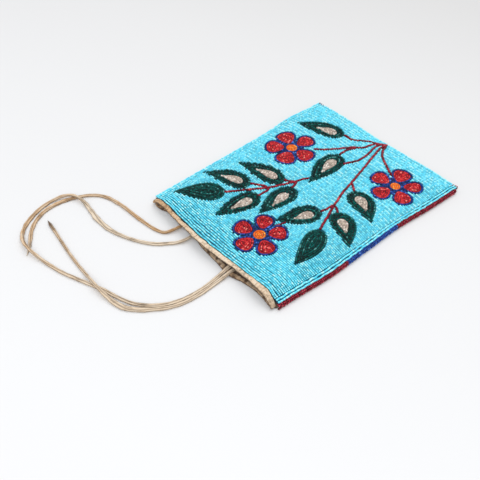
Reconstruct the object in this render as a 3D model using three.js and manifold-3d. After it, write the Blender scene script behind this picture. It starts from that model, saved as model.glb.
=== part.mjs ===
// A flat bag with a beaded front, lying on its back. Millimetres, +Z up.
// The table is z = 0, the mouth faces -Y and the closed end faces +Y.
import * as THREE from 'three';
import { mergeVertices } from 'three/addons/utils/BufferGeometryUtils.js';
import Module from 'manifold-3d';

const wasm = await Module();
wasm.setup();

// Overall sizes: the length takes in binding and edging, the widths are of the beaded face
const BAG_LENGTH = 242.4;
const MOUTH_WIDTH = 175;
const END_WIDTH = 190;

// Layers, from the table up
const BACK_THICKNESS = 1.2;
const CANVAS_THICKNESS = 0.8;
const BEAD_HEIGHT = 1.9;
const GAP = 0.3;

// How far the front bulges over the pocket, and how soon it falls to the seams
const MOUTH_RISE = 5.6;
const END_RISE = 4.2;
const SIDE_RAMP = 21;
const END_RAMP = 20;

// Bead rows of the ground, each a ridge, and the two rows along each side
const ROW_PITCH = 2.05;
const ROW_DEPTH = 0.8;
const BORDER_ROW = 2.1;
const BORDER_GROOVE = 0.5;

// Rolled bead edging over the seams, with its blue middle stretch
const EDGING_WIDTH = 3.2;
const EDGING_HEIGHT = 4.2;
const BLUE_FROM = -36;
const BLUE_TO = 33;

// Hide rolled over the two lips of the mouth
const BINDING_DEPTH = 6.4;
const BINDING_HEIGHT = 3.1;
const BACK_BINDING_HEIGHT = 2.4;
const BACK_BINDING_LENGTH = 156;

// Hide thongs
const THONG_WIDTH = 3.2;
const THONG_THICKNESS = 2.2;
const THONG_STEP = 12.5;

// The beaded face lies between the mouth's binding and the closed end's edging
const MOUTH_Y = -BAG_LENGTH / 2 + BINDING_DEPTH + GAP;
const END_Y = BAG_LENGTH / 2 - EDGING_WIDTH - GAP;

// The design below is drawn on a face of this length, and stretches along with the face
const DRAWN_LENGTH = 232.2;
const STRETCH = (END_Y - MOUTH_Y) / DRAWN_LENGTH;

// Flowers: sizes of one petal, the outline row and the centre, then the turn and breadth of each petal
const PETAL_LENGTH = 17.8;
const PETAL_WIDTH = 16;
const PETAL_EGG = 0.34;
const OUTLINE_ROW = 2;
const CENTRE_RADIUS = 6.2;
const FLOWERS = [
  { name: 'flower_1', centre: [-53.3, 34.4], petals: [[5, 0.98], [84, 0.9], [154, 1], [224, 1.04], [297, 1.06]] },
  { name: 'flower_2', centre: [56.8, 69.9], petals: [[44, 0.86], [110, 1], [187, 1], [261, 1], [329, 0.92]] },
  { name: 'flower_3', centre: [20.4, -75.2], petals: [[56, 1], [124, 1], [199, 1.06], [270, 1.04], [337, 1.02]] },
];

// Leaves: tip, heel, width and sideways bend, then the same for the pale centre
const LEAF_GAP = 0.5;
const LEAVES = [
  { leaf: [[-78.9, 72.1], [-32.4, 91], 22.5, 1.5], pale: [[-62.4, 78.2], [-38.7, 88.2], 10, 1] },
  { leaf: [[-2.2, 12.1], [-10.6, 64], 23, 1.4], pale: [[-4.5, 28.8], [-9.7, 55.3], 10, 0.6] },
  { leaf: [[-69.4, -21.6], [-19, -8.7], 22.5, 1.5], pale: [[-53, -17.4], [-26, -9.9], 9.8, 1] },
  { leaf: [[-83.2, -55.8], [-37, -37.6], 22.5, 1.5], pale: [[-67.7, -50.9], [-43.7, -39.4], 9.4, 1] },
  { leaf: [[-79.1, -96], [-43.6, -63.7], 25, 0.5] },
  { leaf: [[-25.8, -86.7], [-20.7, -40], 23, -0.5], pale: [[-23.5, -73.5], [-20.5, -48.3], 10, 0] },
  { leaf: [[-1.1, -54.9], [-4.7, -8], 22.5, 0.5], pale: [[0, -42], [-4.2, -17.3], 9.6, 0.6] },
  { leaf: [[17.9, -47.6], [34.4, -10.9], 23, 0], pale: [[24.9, -38.5], [32.7, -17.5], 9.8, 0.5] },
  { leaf: [[74, 14.6], [35.2, 31.2], 23.5, -3.6], pale: [[64.4, 20.4], [42.3, 30.2], 10.2, -1.8] },
  { leaf: [[80.6, -22.4], [45.4, -1.5], 23, -2.8], pale: [[71.4, -15.6], [53, -4.6], 9.4, -1.4] },
  { leaf: [[66.7, -74.9], [52.8, -29], 21, -1.5] },
];

// Stems: lines of points, each drawn as a ribbon that stops short of what it leads to
const STEM_WIDTH = 2.4;
const STEM_ROOT = [6.4, END_Y / STRETCH];
const STEMS = [
  {
    name: 'stem_spray',
    lines: [
      [STEM_ROOT, [-2.8, 110], [-10, 104.5], [-20.6, 93.2], [-30.4, 92.2]],
      [STEM_ROOT, [-1.9, 106.5], [-4.8, 91.3], [-11.5, 84.2], [-19.4, 70.8], [-27.8, 58.4], [-33, 53]],
      [[-11.5, 84.2], [-12.2, 75.5], [-11.9, 66.4]],
      [STEM_ROOT, [1.5, 106.5], [4.9, 91.8], [6.7, 75.4], [4.5, 67], [2.8, 62]],
      [STEM_ROOT, [6.4, 106.5], [12.5, 86.7], [25.7, 40.9], [29.9, 24.3], [36.9, 5.1], [50, -26.2]],
      [[27, 40], [32.2, 36.4], [34, 34.8]],
      [[37.2, 5], [42.4, 2.9], [44.4, 1.6]],
      [[36.8, 5], [36.2, -1], [35.6, -7]],
      [STEM_ROOT, [9.9, 107], [18.7, 95], [31.9, 86], [38.6, 82.4]],
    ],
  },
  {
    name: 'stem_branch',
    lines: [
      [[-8.3, 10.4], [-10.9, 2], [-17.2, -15.3], [-22.3, -25.9], [-32.1, -42], [-42, -58.8]],
      [[-11.6, 1], [-16.4, -4.4], [-18, -5]],
      [[-10.9, 1.4], [-8.3, -3.6], [-8, -5.6]],
      [[-22.4, -25.8], [-27, -27.6], [-35, -33]],
      [[-22, -25.6], [-19.9, -30.3], [-20, -37]],
    ],
  },
  { name: 'stem_short', lines: [[[22.4, -49], [21.6, -53.4]]] },
];

// Thong routes, from inside the mouth to the far end
const TIE_LEFT_ROUTE = [
  [-37, -96, 2.7], [-37.8, -105, 2.8], [-38.6, -114, 3.8], [-39.6, -121, 3.8], [-41.2, -128.5, 2.7],
  [-45.2, -135.8, 1.4], [-54.5, -139.8, 1.2], [-68, -142, 1.2], [-82, -143.4, 1.2], [-96, -144.3, 1.2],
  [-109.5, -146.5, 1.2], [-120.5, -149.5, 1.2], [-129.2, -155, 1.2], [-135.6, -162.5, 1.2],
  [-140, -172, 1.2], [-143, -181.5, 1.2], [-144.4, -192, 1.2], [-143.6, -203, 1.2], [-140, -212.5, 1.2],
  [-134.2, -221.2, 1.2], [-126, -229, 1.2], [-116.5, -235.2, 1.2], [-108, -241, 1.2], [-101.8, -246.5, 1.2],
];
const HANDLE_ROUTE = [
  [-20, -96, 2.7], [-20.6, -105, 2.8], [-21.4, -114, 3.8], [-22.4, -121, 3.8], [-24, -128.5, 2.7],
  [-28, -136.5, 1.4], [-39.5, -151.5, 1.2], [-57.5, -163.4, 1.2], [-79.5, -171.5, 1.2],
  [-99.5, -173, 1.2], [-117, -171.3, 1.4], [-130, -170.8, 2.9], [-141, -174.2, 4.1], [-148, -182, 3.4],
  [-150.8, -192, 1.8], [-149.8, -203.5, 1.2], [-145.6, -215, 1.2], [-139, -226.5, 1.2],
  [-129.5, -236, 1.6], [-118.5, -241, 3.1], [-107, -242, 4.1], [-94, -240.2, 2.8], [-82.5, -237.6, 1.4],
  [-64.5, -232.9, 1.2], [-49, -226.8, 1.2], [-32.4, -219.8, 1.2], [-17, -213.3, 1.2], [3, -205.5, 1.2],
  [18.4, -192.5, 1.2], [26.6, -170, 1.2], [28.6, -147, 1.2], [28.8, -133, 1.7], [28.8, -121, 3.8],
  [28.6, -114, 3.8], [28.3, -105, 2.8], [28, -96, 2.7],
];
const TIE_RIGHT_ROUTE = [
  [33.4, -96, 2.7], [33.7, -105, 2.8], [34, -114, 3.8], [34.3, -121, 3.8], [34.4, -133, 1.7],
  [34.2, -147, 1.2], [32.4, -171.5, 1.2], [24, -196.2, 1.2], [10.4, -211.8, 1.2], [-2, -218, 1.4],
  [-16, -220, 2.9], [-31, -219.4, 4.1], [-46, -218.4, 3.2], [-60, -217.6, 1.5], [-76, -216.4, 1.2],
  [-93, -214.4, 1.2], [-110, -212.2, 1.2], [-129.6, -209.8, 1.2],
];

// Heights and reaches that follow from the sizes above
const CANVAS_BOTTOM = BACK_THICKNESS + GAP;
const CANVAS_TOP = CANVAS_BOTTOM + CANVAS_THICKNESS;
const BEAD_BOTTOM = CANVAS_TOP + GAP;
const BEAD_TOP = BEAD_BOTTOM + BEAD_HEIGHT;
const BORDER_WIDTH = 2 * BORDER_ROW;
const SIDE_GROWTH = (END_WIDTH - MOUTH_WIDTH) / 2 / (END_Y - MOUTH_Y);
const FAR = BAG_LENGTH + END_WIDTH;

// Faces that a round outline is drawn with
const ROUND_POINTS = 12;
const LEAF_POINTS = 16;
const THONG_SIDES = 8;

// How sharply a leaf narrows to its tip, and how much faster than its sides the tip grows by a margin
const LEAF_SHARPNESS = 1;
const PALE_SHARPNESS = 1.4;
const TIP_GROWTH = 2;

// Vertices nearer than this are one
const WELD = 1e-4;

const BEAD_ROUGHNESS = 0.3;
const HIDE_ROUGHNESS = 0.85;

const ALONG_X = new THREE.Matrix4().makeBasis(
  new THREE.Vector3(0, 1, 0),
  new THREE.Vector3(0, 0, 1),
  new THREE.Vector3(1, 0, 0),
);

function beads(color) {
  return new THREE.MeshStandardMaterial({ color, roughness: BEAD_ROUGHNESS, metalness: 0 });
}

function hide(color) {
  return new THREE.MeshStandardMaterial({ color, roughness: HIDE_ROUGHNESS, metalness: 0 });
}

const TURQUOISE = beads(0x5fc4e0);
const RED = beads(0xc02a2c);
const BLUE = beads(0x1c3f96);
const ORANGE = beads(0xf58a22);
const GREEN = beads(0x0b3f36);
const PALE = beads(0xcdb5a6);
const STEM_RED = beads(0x96182c);
const EDGE_RED = beads(0x8c1826);
const EDGE_BLUE = beads(0x1a3f92);
const TAN_HIDE = hide(0xd2b48c);
const THONG_HIDE = hide(0xc9a87c);
const CANVAS = hide(0xc8bda4);

const bag = new THREE.Group();

// Turns a three.js geometry into a solid that can be joined and cut
function solid(geometry) {
  geometry.deleteAttribute('normal');
  geometry.deleteAttribute('uv');
  const merged = mergeVertices(geometry, WELD);
  return new wasm.Manifold(new wasm.Mesh({
    numProp: 3,
    vertProperties: new Float32Array(merged.attributes.position.array),
    triVerts: new Uint32Array(merged.index.array),
  }));
}

// The largest of a body's separate parts, without the slivers that cuts can leave
function largest(body) {
  return body.decompose().reduce((best, part) => (part.volume() > best.volume() ? part : best));
}

function geometryOf(body) {
  const { vertProperties, triVerts } = body.getMesh();
  const geometry = new THREE.BufferGeometry();
  geometry.setAttribute('position', new THREE.BufferAttribute(new Float32Array(vertProperties), 3));
  geometry.setIndex(new THREE.BufferAttribute(new Uint32Array(triVerts), 1));
  geometry.computeVertexNormals();
  return geometry;
}

function addPiece(name, geometry, material) {
  const mesh = new THREE.Mesh(geometry, material);
  mesh.name = name;
  bag.add(mesh);
}

function addSolid(name, body, material) {
  addPiece(name, geometryOf(body), material);
}

function halfWidth(y) {
  return MOUTH_WIDTH / 2 + SIDE_GROWTH * (y - MOUTH_Y);
}

// The bulge of the front: the lowest of one tilted top plane and a plane from each seam
const DOME_PLANES = [
  (x, y) => END_RISE + (MOUTH_RISE - END_RISE) * (END_Y - y) / (END_Y - MOUTH_Y),
  (x, y) => (halfWidth(y) - x) * MOUTH_RISE / SIDE_RAMP,
  (x, y) => (halfWidth(y) + x) * MOUTH_RISE / SIDE_RAMP,
  (x, y) => (END_Y - y) * END_RISE / END_RAMP,
];

function tilt(geometry, plane) {
  const places = geometry.attributes.position;
  for (let i = 0; i < places.count; i += 1) {
    places.setZ(i, places.getZ(i) + plane(places.getX(i), places.getY(i)));
  }
  return geometry;
}

// A bar along X whose end face is the given outline of [y, z] points
function barAlongX(outline, length) {
  const shape = new THREE.Shape(outline.map(([y, z]) => new THREE.Vector2(y, z)));
  const bar = new THREE.ExtrudeGeometry(shape, { depth: length, bevelEnabled: false });
  return bar.translate(0, 0, -length / 2).applyMatrix4(ALONG_X);
}

// Everything under a line of [y, z] points that is carried along X and bulged with the front
function under(line, floor) {
  const outline = [...line, [line.at(-1)[0], floor], [line[0][0], floor]];
  const blocks = DOME_PLANES.map((plane) => solid(tilt(barAlongX(outline, FAR), plane)));
  return blocks.reduce((whole, block) => whole.intersect(block));
}

// The space between two lines that both follow the bulge
function between(lower, upper) {
  return under(upper, -FAR).subtract(under(lower, -2 * FAR));
}

function flatLine(height) {
  return [[-FAR, height], [FAR, height]];
}

function ridgedLine(height) {
  const count = Math.round((END_Y - MOUTH_Y) / ROW_PITCH);
  const pitch = (END_Y - MOUTH_Y) / count;
  const valley = height - ROW_DEPTH;
  const line = [[-FAR, valley]];
  for (let i = 0; i < count; i += 1) {
    line.push([MOUTH_Y + i * pitch, valley], [MOUTH_Y + (i + 0.5) * pitch, height]);
  }
  return [...line, [END_Y, valley], [FAR, valley]];
}

// A vertical column with the given outline, tall enough to pass through the whole bag
function column(points) {
  const shape = new THREE.Shape(points);
  const body = new THREE.ExtrudeGeometry(shape, { depth: 2 * FAR, bevelEnabled: false });
  return solid(body.translate(0, 0, -FAR));
}

function join(bodies) {
  return bodies.reduce((whole, body) => whole.add(body));
}

// Where a point of the drawn design lies on the face
function place([x, y]) {
  return new THREE.Vector2(x, y * STRETCH);
}

// The strip of the beaded face between two distances in from one side (side is 1 or -1)
function sideStrip(side, from, to) {
  return column([
    new THREE.Vector2(side * (halfWidth(MOUTH_Y) - from), MOUTH_Y),
    new THREE.Vector2(side * (halfWidth(MOUTH_Y) - to), MOUTH_Y),
    new THREE.Vector2(side * (halfWidth(END_Y) - to), END_Y),
    new THREE.Vector2(side * (halfWidth(END_Y) - from), END_Y),
  ]);
}

// The beaded face with a margin taken off both sides
function faceOutline(margin) {
  return [
    new THREE.Vector2(-halfWidth(MOUTH_Y) + margin, MOUTH_Y),
    new THREE.Vector2(halfWidth(MOUTH_Y) - margin, MOUTH_Y),
    new THREE.Vector2(halfWidth(END_Y) - margin, END_Y),
    new THREE.Vector2(-halfWidth(END_Y) + margin, END_Y),
  ];
}

// An egg with its wide end outwards along the given angle
function egg(centre, angle, length, width) {
  const points = [];
  for (let i = 0; i < ROUND_POINTS; i += 1) {
    const turn = (2 * Math.PI * i) / ROUND_POINTS;
    const along = (length / 2) * Math.cos(turn);
    const across = (width / 2) * Math.sin(turn) * (1 + PETAL_EGG * Math.cos(turn));
    points.push(new THREE.Vector2(along, across).rotateAround(new THREE.Vector2(), angle).add(centre));
  }
  return column(points);
}

function disc(centre, radius) {
  const ring = new THREE.EllipseCurve(centre.x, centre.y, radius, radius).getPoints(ROUND_POINTS);
  return column(ring.slice(0, -1));
}

// A teardrop from tip to heel, wide near the heel, grown all round by a margin
function teardrop([tip, heel, width, bend], margin, sharpness = LEAF_SHARPNESS) {
  const axis = place(heel).sub(place(tip));
  const forward = axis.clone().normalize();
  const side = new THREE.Vector2(-forward.y, forward.x);
  const start = place(tip).addScaledVector(forward, -TIP_GROWTH * margin);
  const length = axis.length() + (TIP_GROWTH + 1) * margin;
  const points = [];
  for (let i = 0; i < LEAF_POINTS; i += 1) {
    const turn = (2 * Math.PI * i) / LEAF_POINTS;
    const share = (1 - Math.cos(turn)) / 2;
    const half = (width / 2 + margin) * teardropWidth(turn, sharpness);
    const across = half + bend * Math.sin(Math.PI * share);
    points.push(start.clone().addScaledVector(forward, length * share).addScaledVector(side, across));
  }
  return column(points);
}

// Half the teardrop's width at a turn round its outline, as a share of the widest
function teardropWidth(turn, sharpness) {
  const taper = (angle) => Math.sin(angle) * Math.abs(Math.sin(angle / 2)) ** sharpness;
  const widest = 2 * Math.asin(Math.sqrt((1 + sharpness) / (2 + sharpness)));
  return taper(turn) / taper(widest);
}

// One straight run of a stem with square ends, grown by a margin
function stemRun(from, to, margin) {
  const start = place(from);
  const end = place(to);
  const forward = end.clone().sub(start).normalize().multiplyScalar(STEM_WIDTH / 2 + margin);
  const side = new THREE.Vector2(-forward.y, forward.x);
  start.sub(forward);
  end.add(forward);
  return column([
    start.clone().sub(side),
    end.clone().sub(side),
    end.clone().add(side),
    start.clone().add(side),
  ]);
}

function stemColumn(lines, margin) {
  const runs = lines.flatMap((line) => line.slice(1).map((point, i) => stemRun(line[i], point, margin)));
  return join(runs);
}

function petals(flower, margin) {
  const centre = place(flower.centre);
  const reach = CENTRE_RADIUS + OUTLINE_ROW + 2 * GAP + PETAL_LENGTH / 2;
  return flower.petals.map(([turn, breadth]) => {
    const angle = THREE.MathUtils.degToRad(turn);
    const middle = new THREE.Vector2(reach, 0).rotateAround(new THREE.Vector2(), angle).add(centre);
    return egg(middle, angle, PETAL_LENGTH + 2 * margin, breadth * PETAL_WIDTH + 2 * margin);
  });
}

// The whole flower, petals and centre together, grown by a margin
function flowerColumn(flower, margin) {
  const centre = place(flower.centre);
  return join([disc(centre, CENTRE_RADIUS + margin), ...petals(flower, margin)]);
}

function addPanels() {
  const outline = new THREE.Shape(faceOutline(0));
  const back = new THREE.ExtrudeGeometry(outline, { depth: BACK_THICKNESS, bevelEnabled: false });
  addPiece('back_panel', back, TAN_HIDE);
  const sheet = between(flatLine(CANVAS_BOTTOM), flatLine(CANVAS_TOP));
  addSolid('front_panel', sheet.intersect(column(faceOutline(0))), CANVAS);
}

// The room that the flowers take up on the face
function flowerRoom() {
  return join(FLOWERS.map((flower) => flowerColumn(flower, OUTLINE_ROW + 2 * GAP)));
}

// The room that the flowers and leaves take up together
function bloomRoom() {
  return join([flowerRoom(), ...LEAVES.map(({ leaf }) => teardrop(leaf, LEAF_GAP))]);
}

// Turquoise rows with the motifs left out, and two plain rows along each side
function addGround(layer, face) {
  const rows = between(flatLine(BEAD_BOTTOM), ridgedLine(BEAD_TOP)).intersect(face);
  const overlap = GAP / 2;
  const borders = join([1, -1].map((side) => layer.intersect(sideStrip(side, 0, BORDER_WIDTH + overlap))));
  const groove = between(flatLine(BEAD_TOP - ROW_DEPTH), flatLine(BEAD_TOP + BEAD_HEIGHT));
  const grooves = join([1, -1].flatMap((side) => [BORDER_ROW, BORDER_WIDTH].map((place) => (
    groove.intersect(sideStrip(side, place - BORDER_GROOVE / 2, place + BORDER_GROOVE / 2))
  ))));
  const motifs = join([bloomRoom(), ...STEMS.map(({ lines }) => stemColumn(lines, GAP))]);
  const room = column(faceOutline(BORDER_WIDTH));
  const ground = rows.add(borders).subtract(grooves).subtract(motifs.intersect(room));
  addSolid('bead_ground', largest(ground), TURQUOISE);
}

function addFlower(flower, layer) {
  const centre = place(flower.centre);
  petals(flower, 0).forEach((petal, k) => {
    addSolid(`${flower.name}_petal_${k + 1}`, layer.intersect(petal), RED);
  });
  addSolid(`${flower.name}_centre`, layer.intersect(disc(centre, CENTRE_RADIUS)), ORANGE);
  const outline = flowerColumn(flower, OUTLINE_ROW + GAP).subtract(flowerColumn(flower, GAP));
  addSolid(`${flower.name}_outline`, layer.intersect(outline), BLUE);
}

function addLeaf(name, { leaf, pale }, layer) {
  const whole = teardrop(leaf, 0).subtract(flowerRoom());
  addSolid(name, layer.intersect(pale ? whole.subtract(teardrop(pale, LEAF_GAP, PALE_SHARPNESS)) : whole), GREEN);
  if (pale) {
    addSolid(`${name}_centre`, layer.intersect(teardrop(pale, 0, PALE_SHARPNESS)), PALE);
  }
}

function addBeadwork() {
  const layer = between(flatLine(BEAD_BOTTOM), flatLine(BEAD_TOP));
  addGround(layer, column(faceOutline(BORDER_WIDTH)));
  const motifLayer = layer.intersect(column(faceOutline(BORDER_WIDTH + GAP)));
  FLOWERS.forEach((flower) => addFlower(flower, motifLayer));
  LEAVES.forEach((leaf, i) => addLeaf(`leaf_${i + 1}`, leaf, motifLayer));
  STEMS.forEach(({ name, lines }) => {
    addSolid(name, motifLayer.intersect(stemColumn(lines, 0)).subtract(bloomRoom()), STEM_RED);
  });
}

// An oval section whose first size is upright on a level route
function oval(height, width) {
  const curve = new THREE.EllipseCurve(0, 0, height / 2, width / 2);
  return new THREE.Shape(curve.getPoints(THONG_SIDES).slice(0, -1));
}

function addEdgingRun(name, from, to, material) {
  const path = new THREE.LineCurve3(
    new THREE.Vector3(...from, EDGING_HEIGHT / 2),
    new THREE.Vector3(...to, EDGING_HEIGHT / 2),
  );
  const section = oval(EDGING_HEIGHT, EDGING_WIDTH);
  addPiece(name, new THREE.ExtrudeGeometry(section, { steps: 1, extrudePath: path }), material);
}

function addEdging() {
  const out = GAP + EDGING_WIDTH / 2;
  const bands = [
    ['mouth', MOUTH_Y, BLUE_FROM, EDGE_RED],
    ['middle', BLUE_FROM + GAP, BLUE_TO, EDGE_BLUE],
    ['end', BLUE_TO + GAP, END_Y, EDGE_RED],
  ];
  [['right', 1], ['left', -1]].forEach(([label, side]) => {
    bands.forEach(([band, from, to, material]) => {
      const start = [side * (halfWidth(from) + out), from];
      const finish = [side * (halfWidth(to) + out), to];
      addEdgingRun(`edging_${label}_${band}`, start, finish, material);
    });
  });
  const reach = halfWidth(END_Y);
  addEdgingRun('edging_closed_end', [-reach, END_Y + out], [reach, END_Y + out], EDGE_RED);
}

// One face of a rolled strip in front of the mouth: upper is 1 for its top and -1 for its underside
function rollLine(bottom, height, upper) {
  const middleY = MOUTH_Y - GAP - BINDING_DEPTH / 2;
  const middleZ = bottom + height / 2;
  const line = [];
  for (let i = 0; i <= ROUND_POINTS / 2; i += 1) {
    const turn = Math.PI * (1 - (2 * i) / ROUND_POINTS);
    const lift = Math.sqrt(Math.abs(Math.sin(turn)));
    line.push([middleY + (BINDING_DEPTH / 2) * Math.cos(turn), middleZ + (upper * height * lift) / 2]);
  }
  return line;
}

function addBindings() {
  const top = rollLine(CANVAS_BOTTOM, BINDING_HEIGHT, 1);
  const underside = rollLine(CANVAS_BOTTOM, BINDING_HEIGHT, -1);
  const reach = halfWidth(MOUTH_Y);
  const lip = column([
    new THREE.Vector2(-reach, -FAR),
    new THREE.Vector2(reach, -FAR),
    new THREE.Vector2(reach, MOUTH_Y),
    new THREE.Vector2(-reach, MOUTH_Y),
  ]);
  const edge = top[0][1];
  const hollow = under([[-FAR, edge], ...underside, [FAR, edge]], -2 * FAR);
  const roll = under(top, -FAR).subtract(hollow);
  addSolid('binding_front', roll.intersect(lip), TAN_HIDE);
  const backTop = rollLine(0, BACK_BINDING_HEIGHT, 1);
  const backUnder = rollLine(0, BACK_BINDING_HEIGHT, -1).reverse().slice(1, -1);
  addPiece('binding_back', barAlongX([...backTop, ...backUnder], BACK_BINDING_LENGTH), TAN_HIDE);
}

function addThong(name, route) {
  const path = new THREE.CatmullRomCurve3(route.map((point) => new THREE.Vector3(...point)));
  const steps = Math.round(path.getLength() / THONG_STEP);
  const section = oval(THONG_THICKNESS, THONG_WIDTH);
  addPiece(name, new THREE.ExtrudeGeometry(section, { steps, extrudePath: path }), THONG_HIDE);
}

addPanels();
addBeadwork();
addEdging();
addBindings();
addThong('tie_thong_left', TIE_LEFT_ROUTE);
addThong('handle_thong', HANDLE_ROUTE);
addThong('tie_thong_right', TIE_RIGHT_ROUTE);

export default bag;
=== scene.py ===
"""Dresses a flat bag in strung glass beads, hide and cloth, and sets it on a pale table."""

import math
from functools import lru_cache
from typing import Callable, NamedTuple

import bpy
import numpy as np
from bpy.props import FloatProperty, FloatVectorProperty, PointerProperty
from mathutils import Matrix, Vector, kdtree


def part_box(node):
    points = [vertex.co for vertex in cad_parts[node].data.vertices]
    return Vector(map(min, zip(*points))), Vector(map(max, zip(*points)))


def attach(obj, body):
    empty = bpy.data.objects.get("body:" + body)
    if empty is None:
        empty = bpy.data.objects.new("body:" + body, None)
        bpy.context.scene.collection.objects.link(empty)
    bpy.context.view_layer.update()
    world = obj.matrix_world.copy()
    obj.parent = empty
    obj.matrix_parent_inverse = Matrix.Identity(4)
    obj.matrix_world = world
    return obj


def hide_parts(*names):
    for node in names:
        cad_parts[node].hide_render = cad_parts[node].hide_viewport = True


bl_info = {
    "name": "Beaded Flat Bag",
    "version": (1, 0, 0),
    "blender": (4, 5, 0),
    "location": "View3D > Sidebar > Beaded Bag",
    "description": "Strings the beads, rolls the hide and lays the thongs of a beaded flat bag",
    "category": "Object",
}

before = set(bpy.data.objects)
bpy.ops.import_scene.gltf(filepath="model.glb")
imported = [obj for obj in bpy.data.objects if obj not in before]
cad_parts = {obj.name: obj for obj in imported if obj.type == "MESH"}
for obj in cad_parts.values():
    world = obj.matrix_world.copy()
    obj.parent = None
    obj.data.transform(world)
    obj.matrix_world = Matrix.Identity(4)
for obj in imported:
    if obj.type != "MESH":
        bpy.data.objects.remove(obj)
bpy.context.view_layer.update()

MM = 0.001
BODY = "root"

# The beaded face, from the model: the cloth gives its length, the front roll its width at the mouth
CLOTH_LOW, CLOTH_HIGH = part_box("front_panel")
ROLL_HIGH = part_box("binding_front")[1]
BACK_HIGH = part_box("back_panel")[1]
EDGE_LOW, EDGE_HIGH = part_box("edging_closed_end")
BLUE_LOW, BLUE_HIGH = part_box("edging_right_middle")
MOUTH_Y = CLOTH_LOW.y
END_Y = CLOTH_HIGH.y
FACE_LENGTH = END_Y - MOUTH_Y
MOUTH_HALF = ROLL_HIGH.x
END_HALF = CLOTH_HIGH.x

# Flowers: the centre in millimetres, the sizes of its middle and its petals, then each petal's turn in
# degrees and breadth
FLOWERS = {
    "flower_1": ((-52.9, 34.8), 0.93, 1.035, ((5, 0.98), (84, 0.92), (154, 1.02), (224, 1.06), (297, 1.08))),
    "flower_2": ((56.8, 69.9), 0.82, 0.97, ((44, 0.8), (110, 1.02), (187, 1.02), (261, 0.98), (334, 1.02))),
    "flower_3": ((20.4, -75.2), 0.93, 0.94, ((56, 1.0), (124, 0.96), (199, 1.02), (270, 0.98), (337, 0.98))),
}
PETAL_COUNT = 5
PETAL_EGG = 0.34
PETAL_GAP = 1.6 * MM

# Leaves: tip, heel, width and sideways bend in millimetres, then the same for the pale centre
LEAVES = {
    "leaf_1": (((-78.9, 72.1), (-32.4, 91.0), 22.5, 1.5), ((-62.4, 78.2), (-38.7, 88.2), 10.0, 1.0)),
    "leaf_2": (((-2.2, 12.1), (-10.6, 64.0), 23.0, 1.4), ((-4.5, 28.8), (-9.7, 55.3), 10.0, 0.6)),
    "leaf_3": (((-69.4, -21.6), (-19.0, -8.7), 22.5, 1.5), ((-53.0, -17.4), (-26.0, -9.9), 9.8, 1.0)),
    "leaf_4": (((-83.2, -55.8), (-37.0, -37.6), 22.5, 1.5), ((-67.7, -50.9), (-43.7, -39.4), 9.4, 1.0)),
    "leaf_5": (((-79.1, -96.0), (-43.6, -63.7), 25.0, 0.5), None),
    "leaf_6": (((-25.8, -86.7), (-20.7, -40.0), 23.0, -0.5), ((-23.5, -73.5), (-20.5, -48.3), 10.0, 0.0)),
    "leaf_7": (((-1.1, -54.9), (-4.7, -8.0), 22.5, 0.5), ((0.0, -42.0), (-4.2, -17.3), 9.6, 0.6)),
    "leaf_8": (((17.2, -49.8), (34.4, -10.9), 23.0, 0.0), ((24.9, -38.5), (32.7, -17.5), 9.8, 0.5)),
    "leaf_9": (((74.0, 14.6), (35.2, 31.2), 23.5, -3.6), ((64.4, 20.4), (42.3, 30.2), 10.2, -1.8)),
    "leaf_10": (((80.6, -22.4), (45.4, -1.5), 23.0, -2.8), ((71.4, -15.6), (53.0, -4.6), 9.4, -1.4)),
    "leaf_11": (((66.7, -74.9), (52.8, -29.0), 21.0, -1.5), None),
}
LEAF_SHARPNESS = 1.0
PALE_SHARPNESS = 1.4
LEAF_POINT = 1.6
PALE_SHORT = 1.8

# Rows: those along each side seam, and the step at which free stretches of the ground are looked for
BORDER_ROWS = 2
RUN_STEP = 0.2 * MM

# Room between beads, in bead widths: from ring to ring in a motif, from petals to their outline, along the
# outline, round the stems, from motifs to the ground, and how far ground rows run into their neighbours
RING_PITCH = 1.04
OUTLINE_OUT = 0.58
OUTLINE_ROOM = 0.72
STEM_ROOM = 0.66
MOTIF_ROOM = 0.84
ROW_OVERLAP = 0.14

# Free room that gets one more bead, in bead widths
HOLE_ROOM = 0.8
PETAL_HOLE = 0.7
PALE_HOLE = 0.66

# How far round a flower's middle its holes are filled, and how far stems wander
FLOWER_HEART = 6 * MM
STEM_WANDER = 0.35 * MM

# Ground rows differ a little in tone at random, and from one place along the bag on every other row gets
# painted shade or painted light, more and more over a reach
ROW_SHADE_AMOUNT = 0.2
ROW_SPREAD = 0.05
CONTRAST_FROM = -60 * MM
CONTRAST_REACH = 70 * MM

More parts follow.
